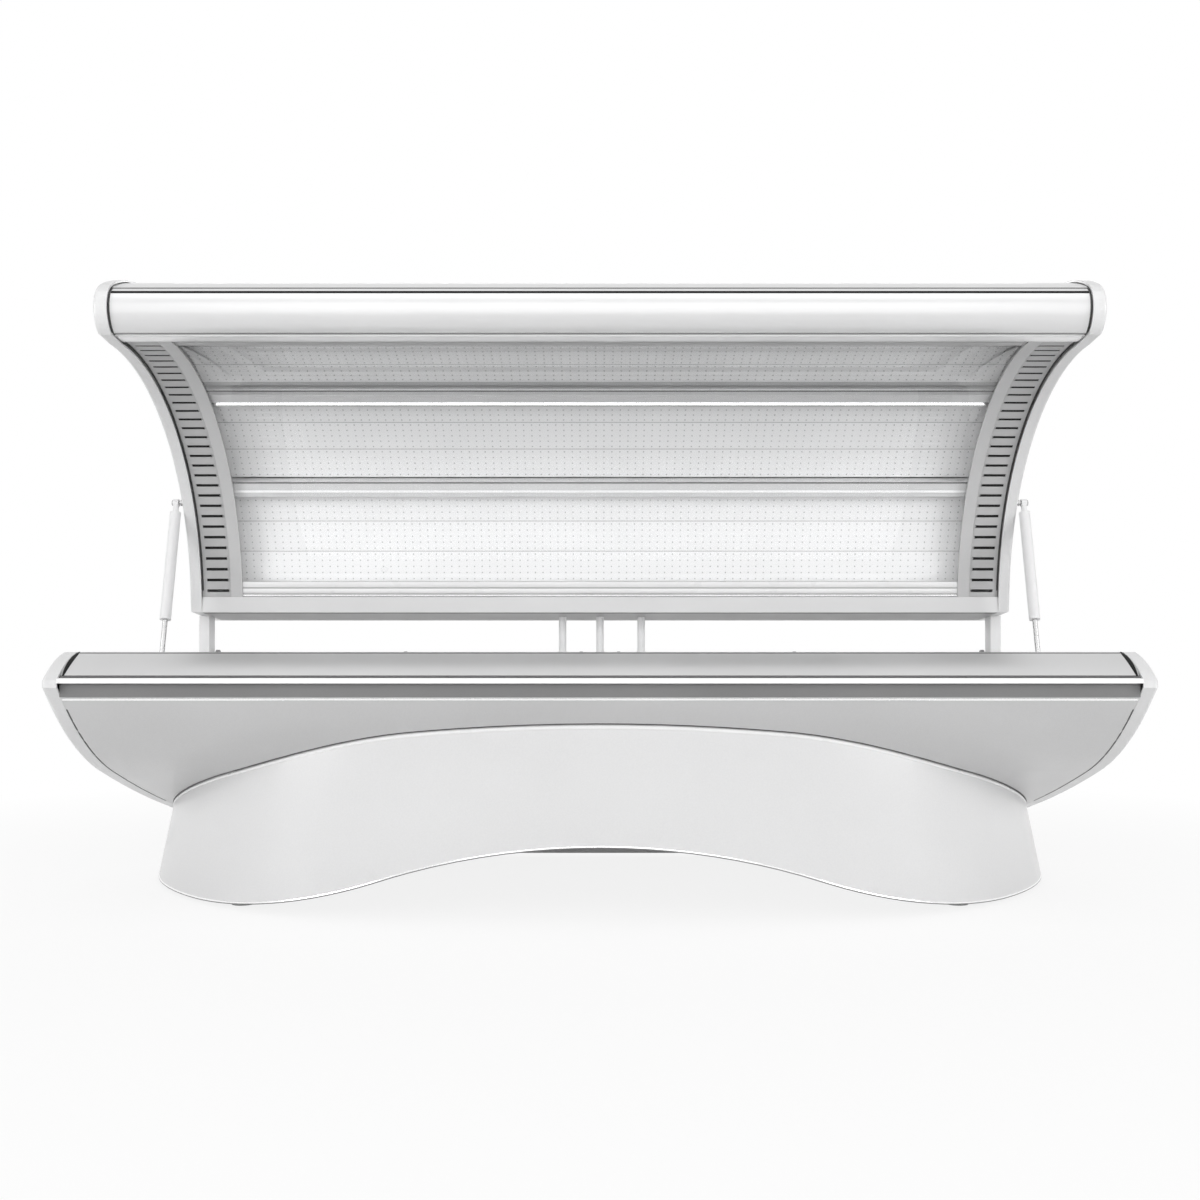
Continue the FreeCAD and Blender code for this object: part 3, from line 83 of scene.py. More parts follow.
class Finish:
    """A material, with short ways to add pattern nodes to its shader."""

    def __init__(self, name, **sockets):
        self.material = bpy.data.materials.new(name)
        self.material.use_nodes = True
        self.tree = self.material.node_tree
        self.shader = self.tree.nodes["Principled BSDF"]
        for socket, value in sockets.items():
            self.shader.inputs[socket.replace("_", " ")].default_value = value
        self.place = self.node("TexCoord").outputs["Object"]

    def node(self, kind, **inputs):
        made = self.tree.nodes.new(f"ShaderNode{kind}")
        for socket, value in inputs.items():
            self.feed(made.inputs[socket.replace("_", " ")], value)
        return made

    def feed(self, socket, value):
        if isinstance(value, bpy.types.NodeSocket):
            self.tree.links.new(value, socket)
        else:
            socket.default_value = value

    def noise(self, scale, detail=2.0, stretch=(1, 1, 1)):
        """Cloudy noise with a scale per metre, drawn out along an axis with a small stretch."""
        mapped = self.node("Mapping", Vector=self.place, Scale=stretch)
        texture = self.node("TexNoise", Vector=mapped.outputs["Vector"], Scale=scale, Detail=detail)
        return texture.outputs["Fac"]

    def flakes(self, scale):
        return self.node("TexVoronoi", Vector=self.place, Scale=scale).outputs["Color"]

    def level(self, pattern, low, high):
        """A pattern's middle range as a number between two levels."""
        spread = self.node(
            "MapRange", Value=pattern, From_Min=PATTERN_LOW, From_Max=PATTERN_HIGH, To_Min=low, To_Max=high
        )
        return spread.outputs["Result"]

    def tint(self, pattern, low, high):
        """A pattern's middle range as a colour between two shades."""
        ramp = self.node("ValToRGB", Fac=pattern)
        first, last = ramp.color_ramp.elements
        first.position = PATTERN_LOW
        last.position = PATTERN_HIGH
        first.color = (*low, 1)
        last.color = (*high, 1)
        return ramp.outputs["Color"]

    def blend(self, first, second, amount):
        """A first colour with an amount of a second one in it."""
        mix = self.node("Mix")
        mix.data_type = "RGBA"
        colours = [socket for socket in mix.inputs if socket.type == "RGBA"]
        mix.inputs[0].default_value = amount
        self.feed(colours[0], first)
        self.feed(colours[1], second)
        return next(socket for socket in mix.outputs if socket.type == "RGBA")

    def colour(self, value):
        self.feed(self.shader.inputs["Base Color"], value)

    def rough(self, pattern, value, less, more):
        """A roughness that a pattern moves a little down and up."""
        self.feed(self.shader.inputs["Roughness"], self.level(pattern, value - less, value + more))

    def bump(self, pattern, strength, depth, rounded=True):
        """Fine relief from a pattern, on edges that may read as slightly rounded."""
        bump = self.node("Bump", Height=pattern, Strength=strength, Distance=depth)
        if rounded:
            self.feed(bump.inputs["Normal"], self.node("Bevel", Radius=EDGE_RADIUS).outputs["Normal"])
        self.feed(self.shader.inputs["Normal"], bump.outputs["Normal"])

    def mix_in(self, amount, other):
        """Another shader in place of the material's own by an amount."""
        mix = self.node("MixShader", Fac=amount)
        self.tree.links.new(self.shader.outputs["BSDF"], mix.inputs[1])
        self.tree.links.new(other, mix.inputs[2])
        self.tree.links.new(mix.outputs["Shader"], self.tree.nodes["Material Output"].inputs["Surface"])


def grey(level):
    return (level, level, level * BLUE_SHARE)


def lacquer(name, low, high, metal, rough):
    """Silver lacquer: soft clouding, metal flakes and a faint orange peel."""
    finish = Finish(name, Metallic=metal, Coat_Weight=0.25, Coat_Roughness=0.12)
    clouds = finish.tint(finish.noise(scale=2.2, detail=3), grey(low), grey(high))
    flakes = finish.tint(finish.flakes(scale=1400), grey(low * FLAKE_DARK), grey(high * FLAKE_BRIGHT))
    finish.colour(finish.blend(clouds, flakes, amount=0.35))
    finish.rough(finish.noise(scale=9, detail=3), rough, less=0.04, more=0.05)
    finish.bump(finish.noise(scale=420), strength=0.05, depth=0.4 * MM)
    return finish.material


def extrusion(name, low, high, metal, rough):
    """Lacquered extrusion: fine draw lines along the bed."""
    finish = Finish(name, Metallic=metal, Coat_Weight=0.15, Coat_Roughness=0.15)
    lines = finish.noise(scale=700, stretch=(0.002, 1, 1))
    clouds = finish.tint(finish.noise(scale=3, detail=3), grey(low), grey(high))
    finish.colour(finish.blend(clouds, finish.tint(lines, grey(low), grey(high)), amount=0.08))
    finish.rough(finish.noise(scale=3, detail=3), rough, less=0.02, more=0.02)
    finish.bump(lines, strength=0.01, depth=0.2 * MM)
    return finish.material


def moulded(name, low, high, rough, coat=0.0, grain=700, depth=0.4 * MM, shine=0.5):
    """Moulded plastic: a fine grain, soft clouding and handled patches."""
    finish = Finish(name, Coat_Weight=coat, Coat_Roughness=0.08, Specular_IOR_Level=shine)
    clouds = finish.tint(finish.noise(scale=3.5, detail=3), grey(low), grey(high))
    specks = finish.tint(finish.noise(scale=grain), grey(low * SPECK_DARK), grey(high))
    finish.colour(finish.blend(clouds, specks, amount=0.4))
    finish.rough(finish.noise(scale=14, detail=4), rough, less=0.05, more=0.06)
    finish.bump(finish.noise(scale=grain), strength=0.07, depth=depth)
    return finish.material


def ground_steel(name, low, high, rough):
    """Bright steel with fine grinding marks."""
    finish = Finish(name, Metallic=1.0)
    marks = finish.noise(scale=1500, detail=3, stretch=(1, 0.05, 0.05))
    finish.colour(finish.tint(marks, grey(low), grey(high)))
    finish.rough(finish.noise(scale=40, detail=3), rough, less=0.03, more=0.04)
    finish.bump(marks, strength=0.004, depth=0.1 * MM, rounded=False)
    return finish.material


def clear_sheet(name):
    """Clear acrylic that lets the lamps through, with faint wipe marks."""
    finish = Finish(name, Transmission_Weight=1.0, IOR=1.49)
    wipes = finish.noise(scale=6, detail=4, stretch=(1, 3, 3))
    finish.colour(finish.tint(wipes, low=(0.984, 0.986, 0.987), high=(0.994, 0.995, 0.996)))
    finish.rough(wipes, 0.0, less=0.0, more=0.006)
    clear = finish.node("BsdfTransparent", Color=(0.985, 0.987, 0.988, 1))
    finish.mix_in(finish.node("LightPath").outputs["Is Shadow Ray"], clear.outputs["BSDF"])
    return finish.material


SILVER_HULL = lacquer("silver_hull", low=0.57, high=0.63, metal=0.25, rough=0.36)
SILVER_RAIL = extrusion("silver_rail", low=0.58, high=0.62, metal=0.45, rough=0.30)
WHITE_RAIL = extrusion("white_rail", low=0.675, high=0.70, metal=0.25, rough=0.30)
PALE_RAIL = extrusion("pale_rail", low=0.66, high=0.70, metal=0.10, rough=0.42)
# Bright trim, also used for a painted highlight on the canopy rail's lip
BRIGHT_TRIM_AND_HIGHLIGHT = extrusion("bright_trim", low=0.90, high=0.96, metal=0.10, rough=0.20)
POLISHED_EDGE = extrusion("polished_edge", low=0.94, high=0.98, metal=1.0, rough=0.14)
DRIVER_CASE = extrusion("driver_case", low=0.55, high=0.62, metal=0.85, rough=0.38)
BARE_STEEL = ground_steel("bare_steel", low=0.43, high=0.48, rough=0.28)
CLEAR_ACRYLIC = clear_sheet("clear_acrylic")
WHITE_GLOSS = moulded("white_gloss", low=0.71, high=0.75, rough=0.34, coat=0.3, grain=320)
WHITE_BOARD = moulded("white_board", low=0.90, high=0.94, rough=0.50, grain=900)
WHITE_METAL = moulded("white_metal", low=0.82, high=0.86, rough=0.42, grain=520)
WHITE_RIDGE = moulded("white_ridge", low=0.67, high=0.71, rough=0.45, grain=900)
# A whiter copy of the white finishes: on the fascia's top rim, the upper ridge's bead, the lower ridge's nose
# and the ledge's face its extra brightness is a painted highlight; the bench covers and the ledge top are
# plain white
WHITE_EDGE_AND_HIGHLIGHT = moulded("white_edge_and_highlight", low=0.88, high=0.93, rough=0.30, coat=0.3, grain=600, depth=0.2 * MM)
LIGHT_CHIP = moulded("light_chip", low=0.52, high=0.60, rough=0.30, coat=0.4, grain=1500, depth=0.2 * MM)
# Vent grey, also used for painted shade on the canopy rear rail's underside
GREY_VENT_AND_SHADE = moulded("grey_vent", low=0.46, high=0.51, rough=0.50)
GREY_CHANNEL = moulded("grey_channel", low=0.54, high=0.59, rough=0.45)
# Grey of the joints between boards and at the ledge, also used for a band of painted shade over the upper
# ridge
GREY_JOINT_AND_SHADE = moulded("grey_joint_and_shade", low=0.50, high=0.56, rough=0.50, grain=600, depth=0.2 * MM)
GREY_INLAY = moulded("grey_inlay", low=0.17, high=0.21, rough=0.55)
# Grey for seams and thin lines, also used for painted shade at the fascia's foot
GREY_LINE_AND_SHADE = moulded("grey_line_and_shade", low=0.16, high=0.20, rough=0.45, grain=600, depth=0.2 * MM)
# Dark line for the joints at the end caps, also used for painted shadow above the fascia
DARK_LINE_AND_SHADOW = moulded("dark_line_and_shadow", low=0.05, high=0.07, rough=0.45, grain=600, depth=0.2 * MM)
# Near black for the canopy rail's groove, and for painted shadow and shade over the bed rail's trim, at the
# bed's end caps and behind the vent slots
DARK_GASKET_AND_SHADE = moulded("dark_gasket_and_shade", low=0.012, high=0.02, rough=0.62, grain=600, shine=0.1)
BLACK_PLASTIC = moulded("black_plastic", low=0.018, high=0.03, rough=0.45, grain=800)
FRAME_STEEL = moulded("frame_steel", low=0.26, high=0.30, rough=0.50, grain=500)
FOOT_RUBBER = moulded("foot_rubber", low=0.62, high=0.68, rough=0.75, grain=260, depth=0.6 * MM)

SLOT_FINISH = {
    "silver_hull": SILVER_HULL,
    "silver_rail": SILVER_RAIL,
    "bright_trim": BRIGHT_TRIM_AND_HIGHLIGHT,
    "grey_inlay": GREY_INLAY,
    "white_gloss": WHITE_GLOSS,
    "clear_acrylic": CLEAR_ACRYLIC,
    "white_board": WHITE_BOARD,
    "white_metal": WHITE_METAL,
    "grey_vent": GREY_VENT_AND_SHADE,
    "grey_channel": GREY_CHANNEL,
    "frame_steel": FRAME_STEEL,
    "bare_steel": BARE_STEEL,
    "foot_rubber": FOOT_RUBBER,
    "black_plastic": BLACK_PLASTIC,
    "driver_case": DRIVER_CASE,
}
NODE_FINISH = {
    "canopy_front_rail": WHITE_RAIL,
    "canopy_rear_rail": PALE_RAIL,
    "canopy_led_ridges": WHITE_RIDGE,
}
for part in frame["record"]["subparts"]:
    finish = NODE_FINISH.get(part["node"], SLOT_FINISH[part["material_slot"]])
    nodes[part["node"]].data.materials.clear()
    nodes[part["node"]].data.materials.append(finish)


# Geometry helpers

WELD = 0.01 * MM


def make_piece(name, points, faces, finish, body, slot):
    """A mesh piece that rides on a body; the slot argument is not used."""
    mesh = bpy.data.meshes.new(name)
    mesh.from_pydata(points, [], faces)
    mesh.update()
    solid = bmesh.new()
    solid.from_mesh(mesh)
    bmesh.ops.recalc_face_normals(solid, faces=solid.faces)
    solid.to_mesh(mesh)
    solid.free()
    mesh.polygons.foreach_set("use_smooth", [False] * len(mesh.polygons))
    mesh.materials.append(finish)
    piece = bpy.data.objects.new(name, mesh)
    bpy.context.scene.collection.objects.link(piece)
    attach(piece, body)


def ring_walls(first, count, size):
    """Faces between neighbouring rings of corner points, whose numbers start at first."""
    faces = []
    for index in range(count - 1):
        low = first + index * size
        for side in range(size):
            following = (side + 1) % size
            faces.append((low + side, low + following, low + size + following, low + size + side))
    return faces


def loft(rings):
    """Corner points and faces of a solid through rings of equal size, closed at both ends."""
    size = len(rings[0])
    points = [corner for ring in rings for corner in ring]
    ends = [tuple(range(size)), tuple(range(len(points) - size, len(points)))]
    return points, ring_walls(0, len(rings), size) + ends


def along_bed(profile, half):
    """Corner points and faces of a solid with one profile from end to end of the bed."""
    return loft([[Vector((x, spot.y, spot.z)) for spot in profile] for x in (-half, half)])


def welded(node):
    """A copy of a node's mesh in which split corners are one again."""
    solid = bmesh.new()
    solid.from_mesh(nodes[node].data)
    bmesh.ops.remove_doubles(solid, verts=solid.verts, dist=WELD)
    return solid


def islands(node):
    """The corner points of each separate solid of a node."""
    solid = welded(node)
    seen = set()
    groups = []
    for start in solid.verts:
        if start in seen:
            continue
        seen.add(start)
        group = [start]
        # The group grows while it is walked
        for corner in group:
            for edge in corner.link_edges:
                other = edge.other_vert(corner)
                if other not in seen:
                    seen.add(other)
                    group.append(other)
        groups.append([corner.co.copy() for corner in group])
    solid.free()
    return groups


# Light boards: small faceted chips in a grid on every board, and bars over the gaps between the boards

CHIP_PITCH = 20 * MM
CHIP_ROWS = 5
ROW_PITCH = 16.2 * MM
CHIP_MARGIN = 12 * MM
CHIP_SIDES = 8
# Radius and height of each ring of a chip
CHIP_RINGS = ((1.9 * MM, 0.0), (1.9 * MM, 0.7 * MM), (1.2 * MM, 1.3 * MM))
WIDE_GAP = 5 * MM
BAR_LIFT = 0.5 * MM
BAR_DEPTH = 2.0 * MM
JOINT_LAP = 0.5 * MM
COVER_LAP = 3 * MM
CANOPY_MODULES = [f"canopy_led_module_{level}" for level in ("upper", "middle", "lower")]
BENCH_MODULES = [f"bench_led_module_{row}" for row in ("front", "middle", "rear")]


class Board(NamedTuple):
    """The lit face of a board: its middle, the ways to the next board and outward, and its sizes."""

    middle: Vector
    across: Vector
    outward: Vector
    width: float
    half_length: float


def lit_face(corners, clear_node):
    """The face of a board that looks at the clear sheet."""
    middle = sum(corners, Vector()) / len(corners)
    end = [corner for corner in corners if corner.x > middle.x]
    edges = [corner - end[0] for corner in end if (corner - end[0]).length > MM]
    thick_edge, wide_edge = sorted(edges, key=lambda edge: edge.length)[:2]
    across = wide_edge.normalized()
    if across.y < 0:
        across = -across
    outward = thick_edge.normalized()
    _, nearest, _, _ = nodes[clear_node].closest_point_on_mesh(middle)
    if outward.dot(nearest - middle) < 0:
        outward = -outward
    face = middle + outward * thick_edge.length / 2
    return Board(face, across, outward, wide_edge.length, max(corner.x for corner in corners))


def chip_points(spot, board):
    """Corner points of one chip on a board, ring by ring from its foot to its top."""
    points = []
    for radius, height in CHIP_RINGS:
        for side in range(CHIP_SIDES):
            turn = 2 * math.pi * side / CHIP_SIDES
            reach = Vector((math.cos(turn), 0, 0)) + board.across * math.sin(turn)
            points.append(spot + reach * radius + board.outward * height)
    return points


def light_chips(name, module, clear_node, body):
    """The chips of one module of boards, as one piece."""
    points = []
    faces = []
    for corners in islands(module):
        board = lit_face(corners, clear_node)
        columns = int(2 * (board.half_length - CHIP_MARGIN) / CHIP_PITCH) + 1
        for row in range(CHIP_ROWS):
            for column in range(columns):
                spot = board.middle + board.across * (row - (CHIP_ROWS - 1) / 2) * ROW_PITCH
                spot.x = (column - (columns - 1) / 2) * CHIP_PITCH
                faces += ring_walls(len(points), len(CHIP_RINGS), CHIP_SIDES)
                points += chip_points(spot, board)
                faces.append(tuple(range(len(points) - CHIP_SIDES, len(points))))
    make_piece(name, points, faces, LIGHT_CHIP, body, "white_board")


def board_gaps(name, modules, clear_node, wide, lap, finish, body, slot):
    """Bars over the wide or the narrow gaps between neighbouring boards, as one piece."""
    boards = [lit_face(corners, clear_node) for module in modules for corners in islands(module)]
    boards.sort(key=lambda board: board.middle.y)
    points = []
    faces = []
    for board, following in zip(boards, boards[1:]):
        start = board.middle + board.across * board.width / 2
        end = following.middle - following.across * following.width / 2
        if ((end - start).length > WIDE_GAP) != wide:
            continue
        profile = (
            start - board.across * lap - board.outward * BAR_DEPTH,
            start - board.across * lap + board.outward * BAR_LIFT,
            end + following.across * lap + following.outward * BAR_LIFT,
            end + following.across * lap - following.outward * BAR_DEPTH,
        )
        bar_points, bar_faces = along_bed(profile, board.half_length)
        faces += [tuple(len(points) + corner for corner in face) for face in bar_faces]
        points += bar_points
    make_piece(name, points, faces, finish, body, slot)


for module in CANOPY_MODULES:
    light_chips(module.replace("led_module", "chips"), module, "canopy_acrylic", "canopy")
for module in BENCH_MODULES:
    light_chips(module.replace("led_module", "chips"), module, "bench_acrylic", "bed")
board_gaps(
    "canopy_joints", CANOPY_MODULES, "canopy_acrylic", False, JOINT_LAP, GREY_JOINT_AND_SHADE, "canopy", "grey_channel"
)
board_gaps(
    "bench_joints", BENCH_MODULES, "bench_acrylic", False, JOINT_LAP, GREY_JOINT_AND_SHADE, "bed", "grey_channel"
)
board_gaps("bench_covers", BENCH_MODULES, "bench_acrylic", True, COVER_LAP, WHITE_EDGE_AND_HIGHLIGHT, "bed", "white_board")


# Lines along the bed, found on the CAD pieces from their rows in the photograph

LINE_SINK = 0.6 * MM
END_CLEAR = 1 * MM
NOSE_LEAN = 0.09
SEAM_LIFT = 0.3 * MM
LINE_LIFT = 0.4 * MM
JOINT_LIFT = 0.6 * MM
BEAD_LIFT = 0.8 * MM
LEDGE_LIFT = 1 * MM
HULL_BEAD_LIFT = 1.2 * MM
OVER_CHIPS_LIFT = 1.6 * MM
CREST_LIFT = 2 * MM

# First and last row of each line in the photograph's middle column, from the top down
LINE_ROWS = {
    "canopy_rail_crest": (287.6, 288.8),
    "canopy_rail_groove": (291.0, 293.2),
    "canopy_rail_seam": (332.8, 334.2),
    "canopy_rail_nose": (334.8, 336.4),
    "canopy_rail_lip_painted_highlight": (336.4, 341.0),
    "canopy_lip_dark_band": (342.0, 345.4),
    "canopy_ridge_painted_shade": (381.0, 384.6),
    "canopy_ridge_bead_painted_highlight": (387.9, 389.6),
    "canopy_ridge_seam": (389.8, 391.2),
    "canopy_ridge_nose": (401.8, 404.6),
    "canopy_lower_ridge_seam": (481.7, 483.4),
    "canopy_lower_ridge_nose": (490.2, 492.4),
    "canopy_ledge_top": (581.6, 587.0),
    "canopy_ledge_seam": (587.0, 588.6),
    "canopy_ledge_face_highlight": (588.6, 592.8),
    "canopy_ledge_gap": (592.8, 594.6),
    "rear_rail_crest": (594.6, 596.6),
    "rear_rail_seam": (612.4, 613.6),
    "rear_rail_painted_shade": (613.6, 619.8),
    "bed_rail_crest": (652.6, 653.6),
    "bed_rail_painted_shadow": (675.6, 677.8),
    "hull_lip_bead": (698.4, 700.6),
}


def on_photo(node, row):
    """The spot where a row of the photograph's middle column falls on a node, and the way its face points."""
    ray = Vector((0, FOCAL_PIXELS, HORIZON_ROW - row)).normalized()
    hit, spot, normal, _ = nodes[node].ray_cast(eye, ray)
    if not hit:
        raise ValueError(f"{node} isn't in row {row} of the photograph")
    return spot, normal


def long_line(name, node, lift, finish, body, slot):
    """A crowned line from end to end of a node, on its face in the line's rows."""
    first_row, last_row = LINE_ROWS[name]
    start, start_out = on_photo(node, first_row)
    middle, middle_out = on_photo(node, (first_row + last_row) / 2)
    end, end_out = on_photo(node, last_row)
    profile = (
        start - start_out * LINE_SINK,
        start + start_out * lift / 2,
        middle + middle_out * lift,
        end + end_out * lift / 2,
        end - end_out * LINE_SINK,
    )
    make_piece(name, *along_bed(profile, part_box(node)[1].x - END_CLEAR), finish, body, slot)


def bright_nose(name, node, finish, slot):
    """A bright edge that stands nearly upright on a node of the canopy, in the line's rows."""
    first_row, last_row = LINE_ROWS[name]
    upper, upper_out = on_photo(node, first_row)
    lower, lower_out = on_photo(node, last_row)
    drop = (upper.y - eye.y) * (last_row - first_row) / FOCAL_PIXELS
    profile = (
        upper - upper_out * LINE_SINK,
        upper,
        upper + Vector((0, drop * NOSE_LEAN, -drop)),
        lower,
        lower - lower_out * LINE_SINK,
    )
    make_piece(name, *along_bed(profile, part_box(node)[1].x - END_CLEAR), finish, "canopy", slot)


# Canopy rail: the grey and dark lines of its top groove, and the lip over the boards, whose bright trim
# colour is a painted highlight
long_line("canopy_rail_crest", "canopy_front_rail", LINE_LIFT, GREY_LINE_AND_SHADE, "canopy", "grey_inlay")
long_line("canopy_rail_groove", "canopy_front_rail", LINE_LIFT, DARK_GASKET_AND_SHADE, "canopy", "grey_inlay")
long_line("canopy_rail_seam", "canopy_front_rail", SEAM_LIFT, GREY_LINE_AND_SHADE, "canopy", "grey_inlay")
bright_nose("canopy_rail_nose", "canopy_front_rail", WHITE_RAIL, "bright_trim")
# Painted highlight: a strip in the bright trim colour along the rail's rounded lip
long_line("canopy_rail_lip_painted_highlight", "canopy_front_rail", BEAD_LIFT, BRIGHT_TRIM_AND_HIGHLIGHT, "canopy", "bright_trim")
# A darker grey band on the clear sheet just under the rail's lip
long_line("canopy_lip_dark_band", "canopy_acrylic", JOINT_LIFT, GREY_JOINT_AND_SHADE, "canopy", "grey_channel")

# Canopy ridges: a grey band of painted shade and a bead with a painted highlight over the upper one, their
# seams and their bright noses
# Painted shade: a grey band over the upper boards' chips, where the upper ridge's side is in shade
long_line(
    "canopy_ridge_painted_shade", "canopy_led_module_upper", OVER_CHIPS_LIFT, GREY_JOINT_AND_SHADE, "canopy", "grey_channel"
)
# A bead whose whiter colour is a painted highlight along the upper ridge's edge
long_line("canopy_ridge_bead_painted_highlight", "canopy_led_ridges", BEAD_LIFT, WHITE_EDGE_AND_HIGHLIGHT, "canopy", "white_board")
long_line("canopy_ridge_seam", "canopy_led_ridges", SEAM_LIFT, GREY_LINE_AND_SHADE, "canopy", "grey_channel")
bright_nose("canopy_ridge_nose", "canopy_led_ridges", POLISHED_EDGE, "white_board")
long_line("canopy_lower_ridge_seam", "canopy_led_ridges", SEAM_LIFT, GREY_LINE_AND_SHADE, "canopy", "grey_channel")
# An upright nose that catches light, whose whiter colour adds a painted highlight
bright_nose("canopy_lower_ridge_nose", "canopy_led_ridges", WHITE_EDGE_AND_HIGHLIGHT, "white_board")

# Canopy ledge and rear rail: the white ledge under the boards, its face with a painted highlight, the rail's
# crest and seam, and painted shade on the rail's base
long_line("canopy_ledge_top", "canopy_acrylic", LEDGE_LIFT, WHITE_EDGE_AND_HIGHLIGHT, "canopy", "white_board")
long_line("canopy_ledge_seam", "canopy_acrylic", JOINT_LIFT, GREY_JOINT_AND_SHADE, "canopy", "grey_channel")
# The ledge's white face, partly a painted highlight in the whiter edge colour
long_line("canopy_ledge_face_highlight", "canopy_acrylic", CREST_LIFT, WHITE_EDGE_AND_HIGHLIGHT, "canopy", "white_metal")
long_line("canopy_ledge_gap", "canopy_acrylic", JOINT_LIFT, GREY_JOINT_AND_SHADE, "canopy", "grey_channel")
long_line("rear_rail_crest", "canopy_acrylic", CREST_LIFT, POLISHED_EDGE, "canopy", "bright_trim")
long_line("rear_rail_seam", "canopy_rear_rail", LINE_LIFT, GREY_LINE_AND_SHADE, "canopy", "grey_inlay")
# Painted shade: a vent-grey strip darkens the rail's underside
long_line("rear_rail_painted_shade", "canopy_rear_rail", LINE_LIFT, GREY_VENT_AND_SHADE, "canopy", "grey_vent")

# Bed rail: the dark line behind its crown, painted shadow in the gap over the trim and the bead on the hull's
# lip
long_line("bed_rail_crest", "front_rail", LINE_LIFT, GREY_LINE_AND_SHADE, "bed", "grey_inlay")
# Painted shadow: a near-black strip in the recess over the trim
long_line("bed_rail_painted_shadow", "front_rail", LINE_LIFT, DARK_GASKET_AND_SHADE, "bed", "grey_inlay")
long_line("hull_lip_bead", "hull_shell", HULL_BEAD_LIFT, POLISHED_EDGE, "bed", "bright_trim")


# Caps: painted shadow in the gaps where the bed's end caps meet its rail, the dark joints where the end caps
# meet hull, canopy rail and vent strips, and painted shade behind the vents' slots

RAY_REACH = 1.5
CAP_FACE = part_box("bed_end_cap_right")[0].x
CAP_CLEAR = 0.5 * MM
CAP_SHADOW_WIDTH = 10 * MM
CAP_SHADOW_LIFT = 0.5 * MM
GASKET_WIDTH = 4 * MM
JOINT_WIDTH = 3.4 * MM
VENT_SHADE_INSET = 8 * MM
VENT_SHADE_DEPTH = 1.8 * MM


class Sweep(NamedTuple):
    """Rays about a centre in Y and Z, between two angles in degrees."""

    centre: tuple
    start: float
    end: float
    rays: int


CROWN_SWEEP = Sweep(centre=(-0.40, 0.45), start=161, end=112, rays=15)
FLANK_SWEEP = Sweep(centre=(0.0, 0.45), start=183, end=285, rays=40)
NOSE_SWEEP = Sweep(centre=(-0.20, 1.26), start=140, end=236, rays=30)
ARCH_SWEEP = Sweep(centre=(-0.15, 0.80), start=-16, end=95, rays=50)


def section(node, x, sweep, outside=True):
    """Points and normals where a sweep of rays meets a node at x, from outside or from the centre."""
    centre = Vector((x, *sweep.centre))
    found = []
    for index in range(sweep.rays):
        angle = math.radians(sweep.start + (sweep.end - sweep.start) * index / (sweep.rays - 1))
        out = Vector((0, math.cos(angle), math.sin(angle)))
        if outside:
            hit, spot, normal, _ = nodes[node].ray_cast(centre + out * RAY_REACH, -out)
        else:
            hit, spot, normal, _ = nodes[node].ray_cast(centre, out)
        if hit:
            found.append((spot, Vector((0, normal.y, normal.z)).normalized()))
    return found


def strip(name, trace, low, high, lift, finish, body, slot, crescent=False):
    """A crowned strip between two places along X that lies on a trace of points and normals."""
    rings = []
    for index, (spot, normal) in enumerate(trace):
        share = math.sqrt(math.sin(math.pi * (index + 0.5) / len(trace))) if crescent else 1.0
        middle = (low + high) / 2
        half = (high - low) / 2 * share
        profile = (
            (middle - half, -LINE_SINK),
            (middle - half, lift / 2),
            (middle, lift),
            (middle + half, lift / 2),
            (middle + half, -LINE_SINK),
        )
        rings.append([Vector((x, spot.y, spot.z)) + normal * height for x, height in profile])
    make_piece(name, *loft(rings), finish, body, slot)


def beside_cap(sign, width):
    """Two places along X, from low to high, between which a strip lies beside an end cap."""
    return sorted((sign * (CAP_FACE - CAP_CLEAR), sign * (CAP_FACE - width)))


for side, sign in SIDES:
    # Painted shadow: a near-black strip in the gap where the bed rail's crown meets each end cap
    low, high = beside_cap(sign, CAP_SHADOW_WIDTH)
    crown = section("front_rail", (low + high) / 2, CROWN_SWEEP)
    strip(
        f"bed_cap_painted_shadow_{side}", crown, low, high, CAP_SHADOW_LIFT, DARK_GASKET_AND_SHADE, "bed", "foot_rubber", crescent=True
    )

    low, high = beside_cap(sign, JOINT_WIDTH)
    flank = section("hull_shell", (low + high) / 2, FLANK_SWEEP)
    strip(f"bed_cap_joint_{side}", flank, low, high, LINE_LIFT, DARK_LINE_AND_SHADOW, "bed", "grey_inlay")

    low, high = beside_cap(sign, GASKET_WIDTH)
    nose = section("canopy_front_rail", (low + high) / 2, NOSE_SWEEP)
    strip(f"canopy_cap_gasket_{side}", nose, low, high, JOINT_LIFT, DARK_LINE_AND_SHADOW, "canopy", "grey_inlay")
    vent = f"canopy_vent_strip_{side}"
    arch = section(vent, (low + high) / 2, ARCH_SWEEP, outside=False)
    strip(f"canopy_vent_joint_{side}", arch, low, high, JOINT_LIFT, DARK_LINE_AND_SHADOW, "canopy", "grey_inlay")

    # Painted shade: a near-black sheet sunk behind each vent strip, so that its slots read black
    low, high = (corner.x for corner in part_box(vent))
    low += VENT_SHADE_INSET
    high -= VENT_SHADE_INSET
    sunk = [(spot - normal * VENT_SHADE_DEPTH, normal) for spot, normal in arch]
    strip(f"canopy_vent_painted_shade_{side}", sunk, low, high, BEAD_LIFT, DARK_GASKET_AND_SHADE, "canopy", "foot_rubber")


# Plinth: bright rims along the fascia's edges, the top one with a painted highlight, a dark bead of painted
# shadow on the hull above the fascia and a grey one of painted shade at its foot

WALL_LIMIT = 0.3
BEAD_SIDES = 8
SHADOW_RISE = 3.5 * MM


class Bead(NamedTuple):
    """A round bead: its radius, how far it sinks into the wall and how far it rises off the edge."""

    radius: float
    sink: float
    rise: float


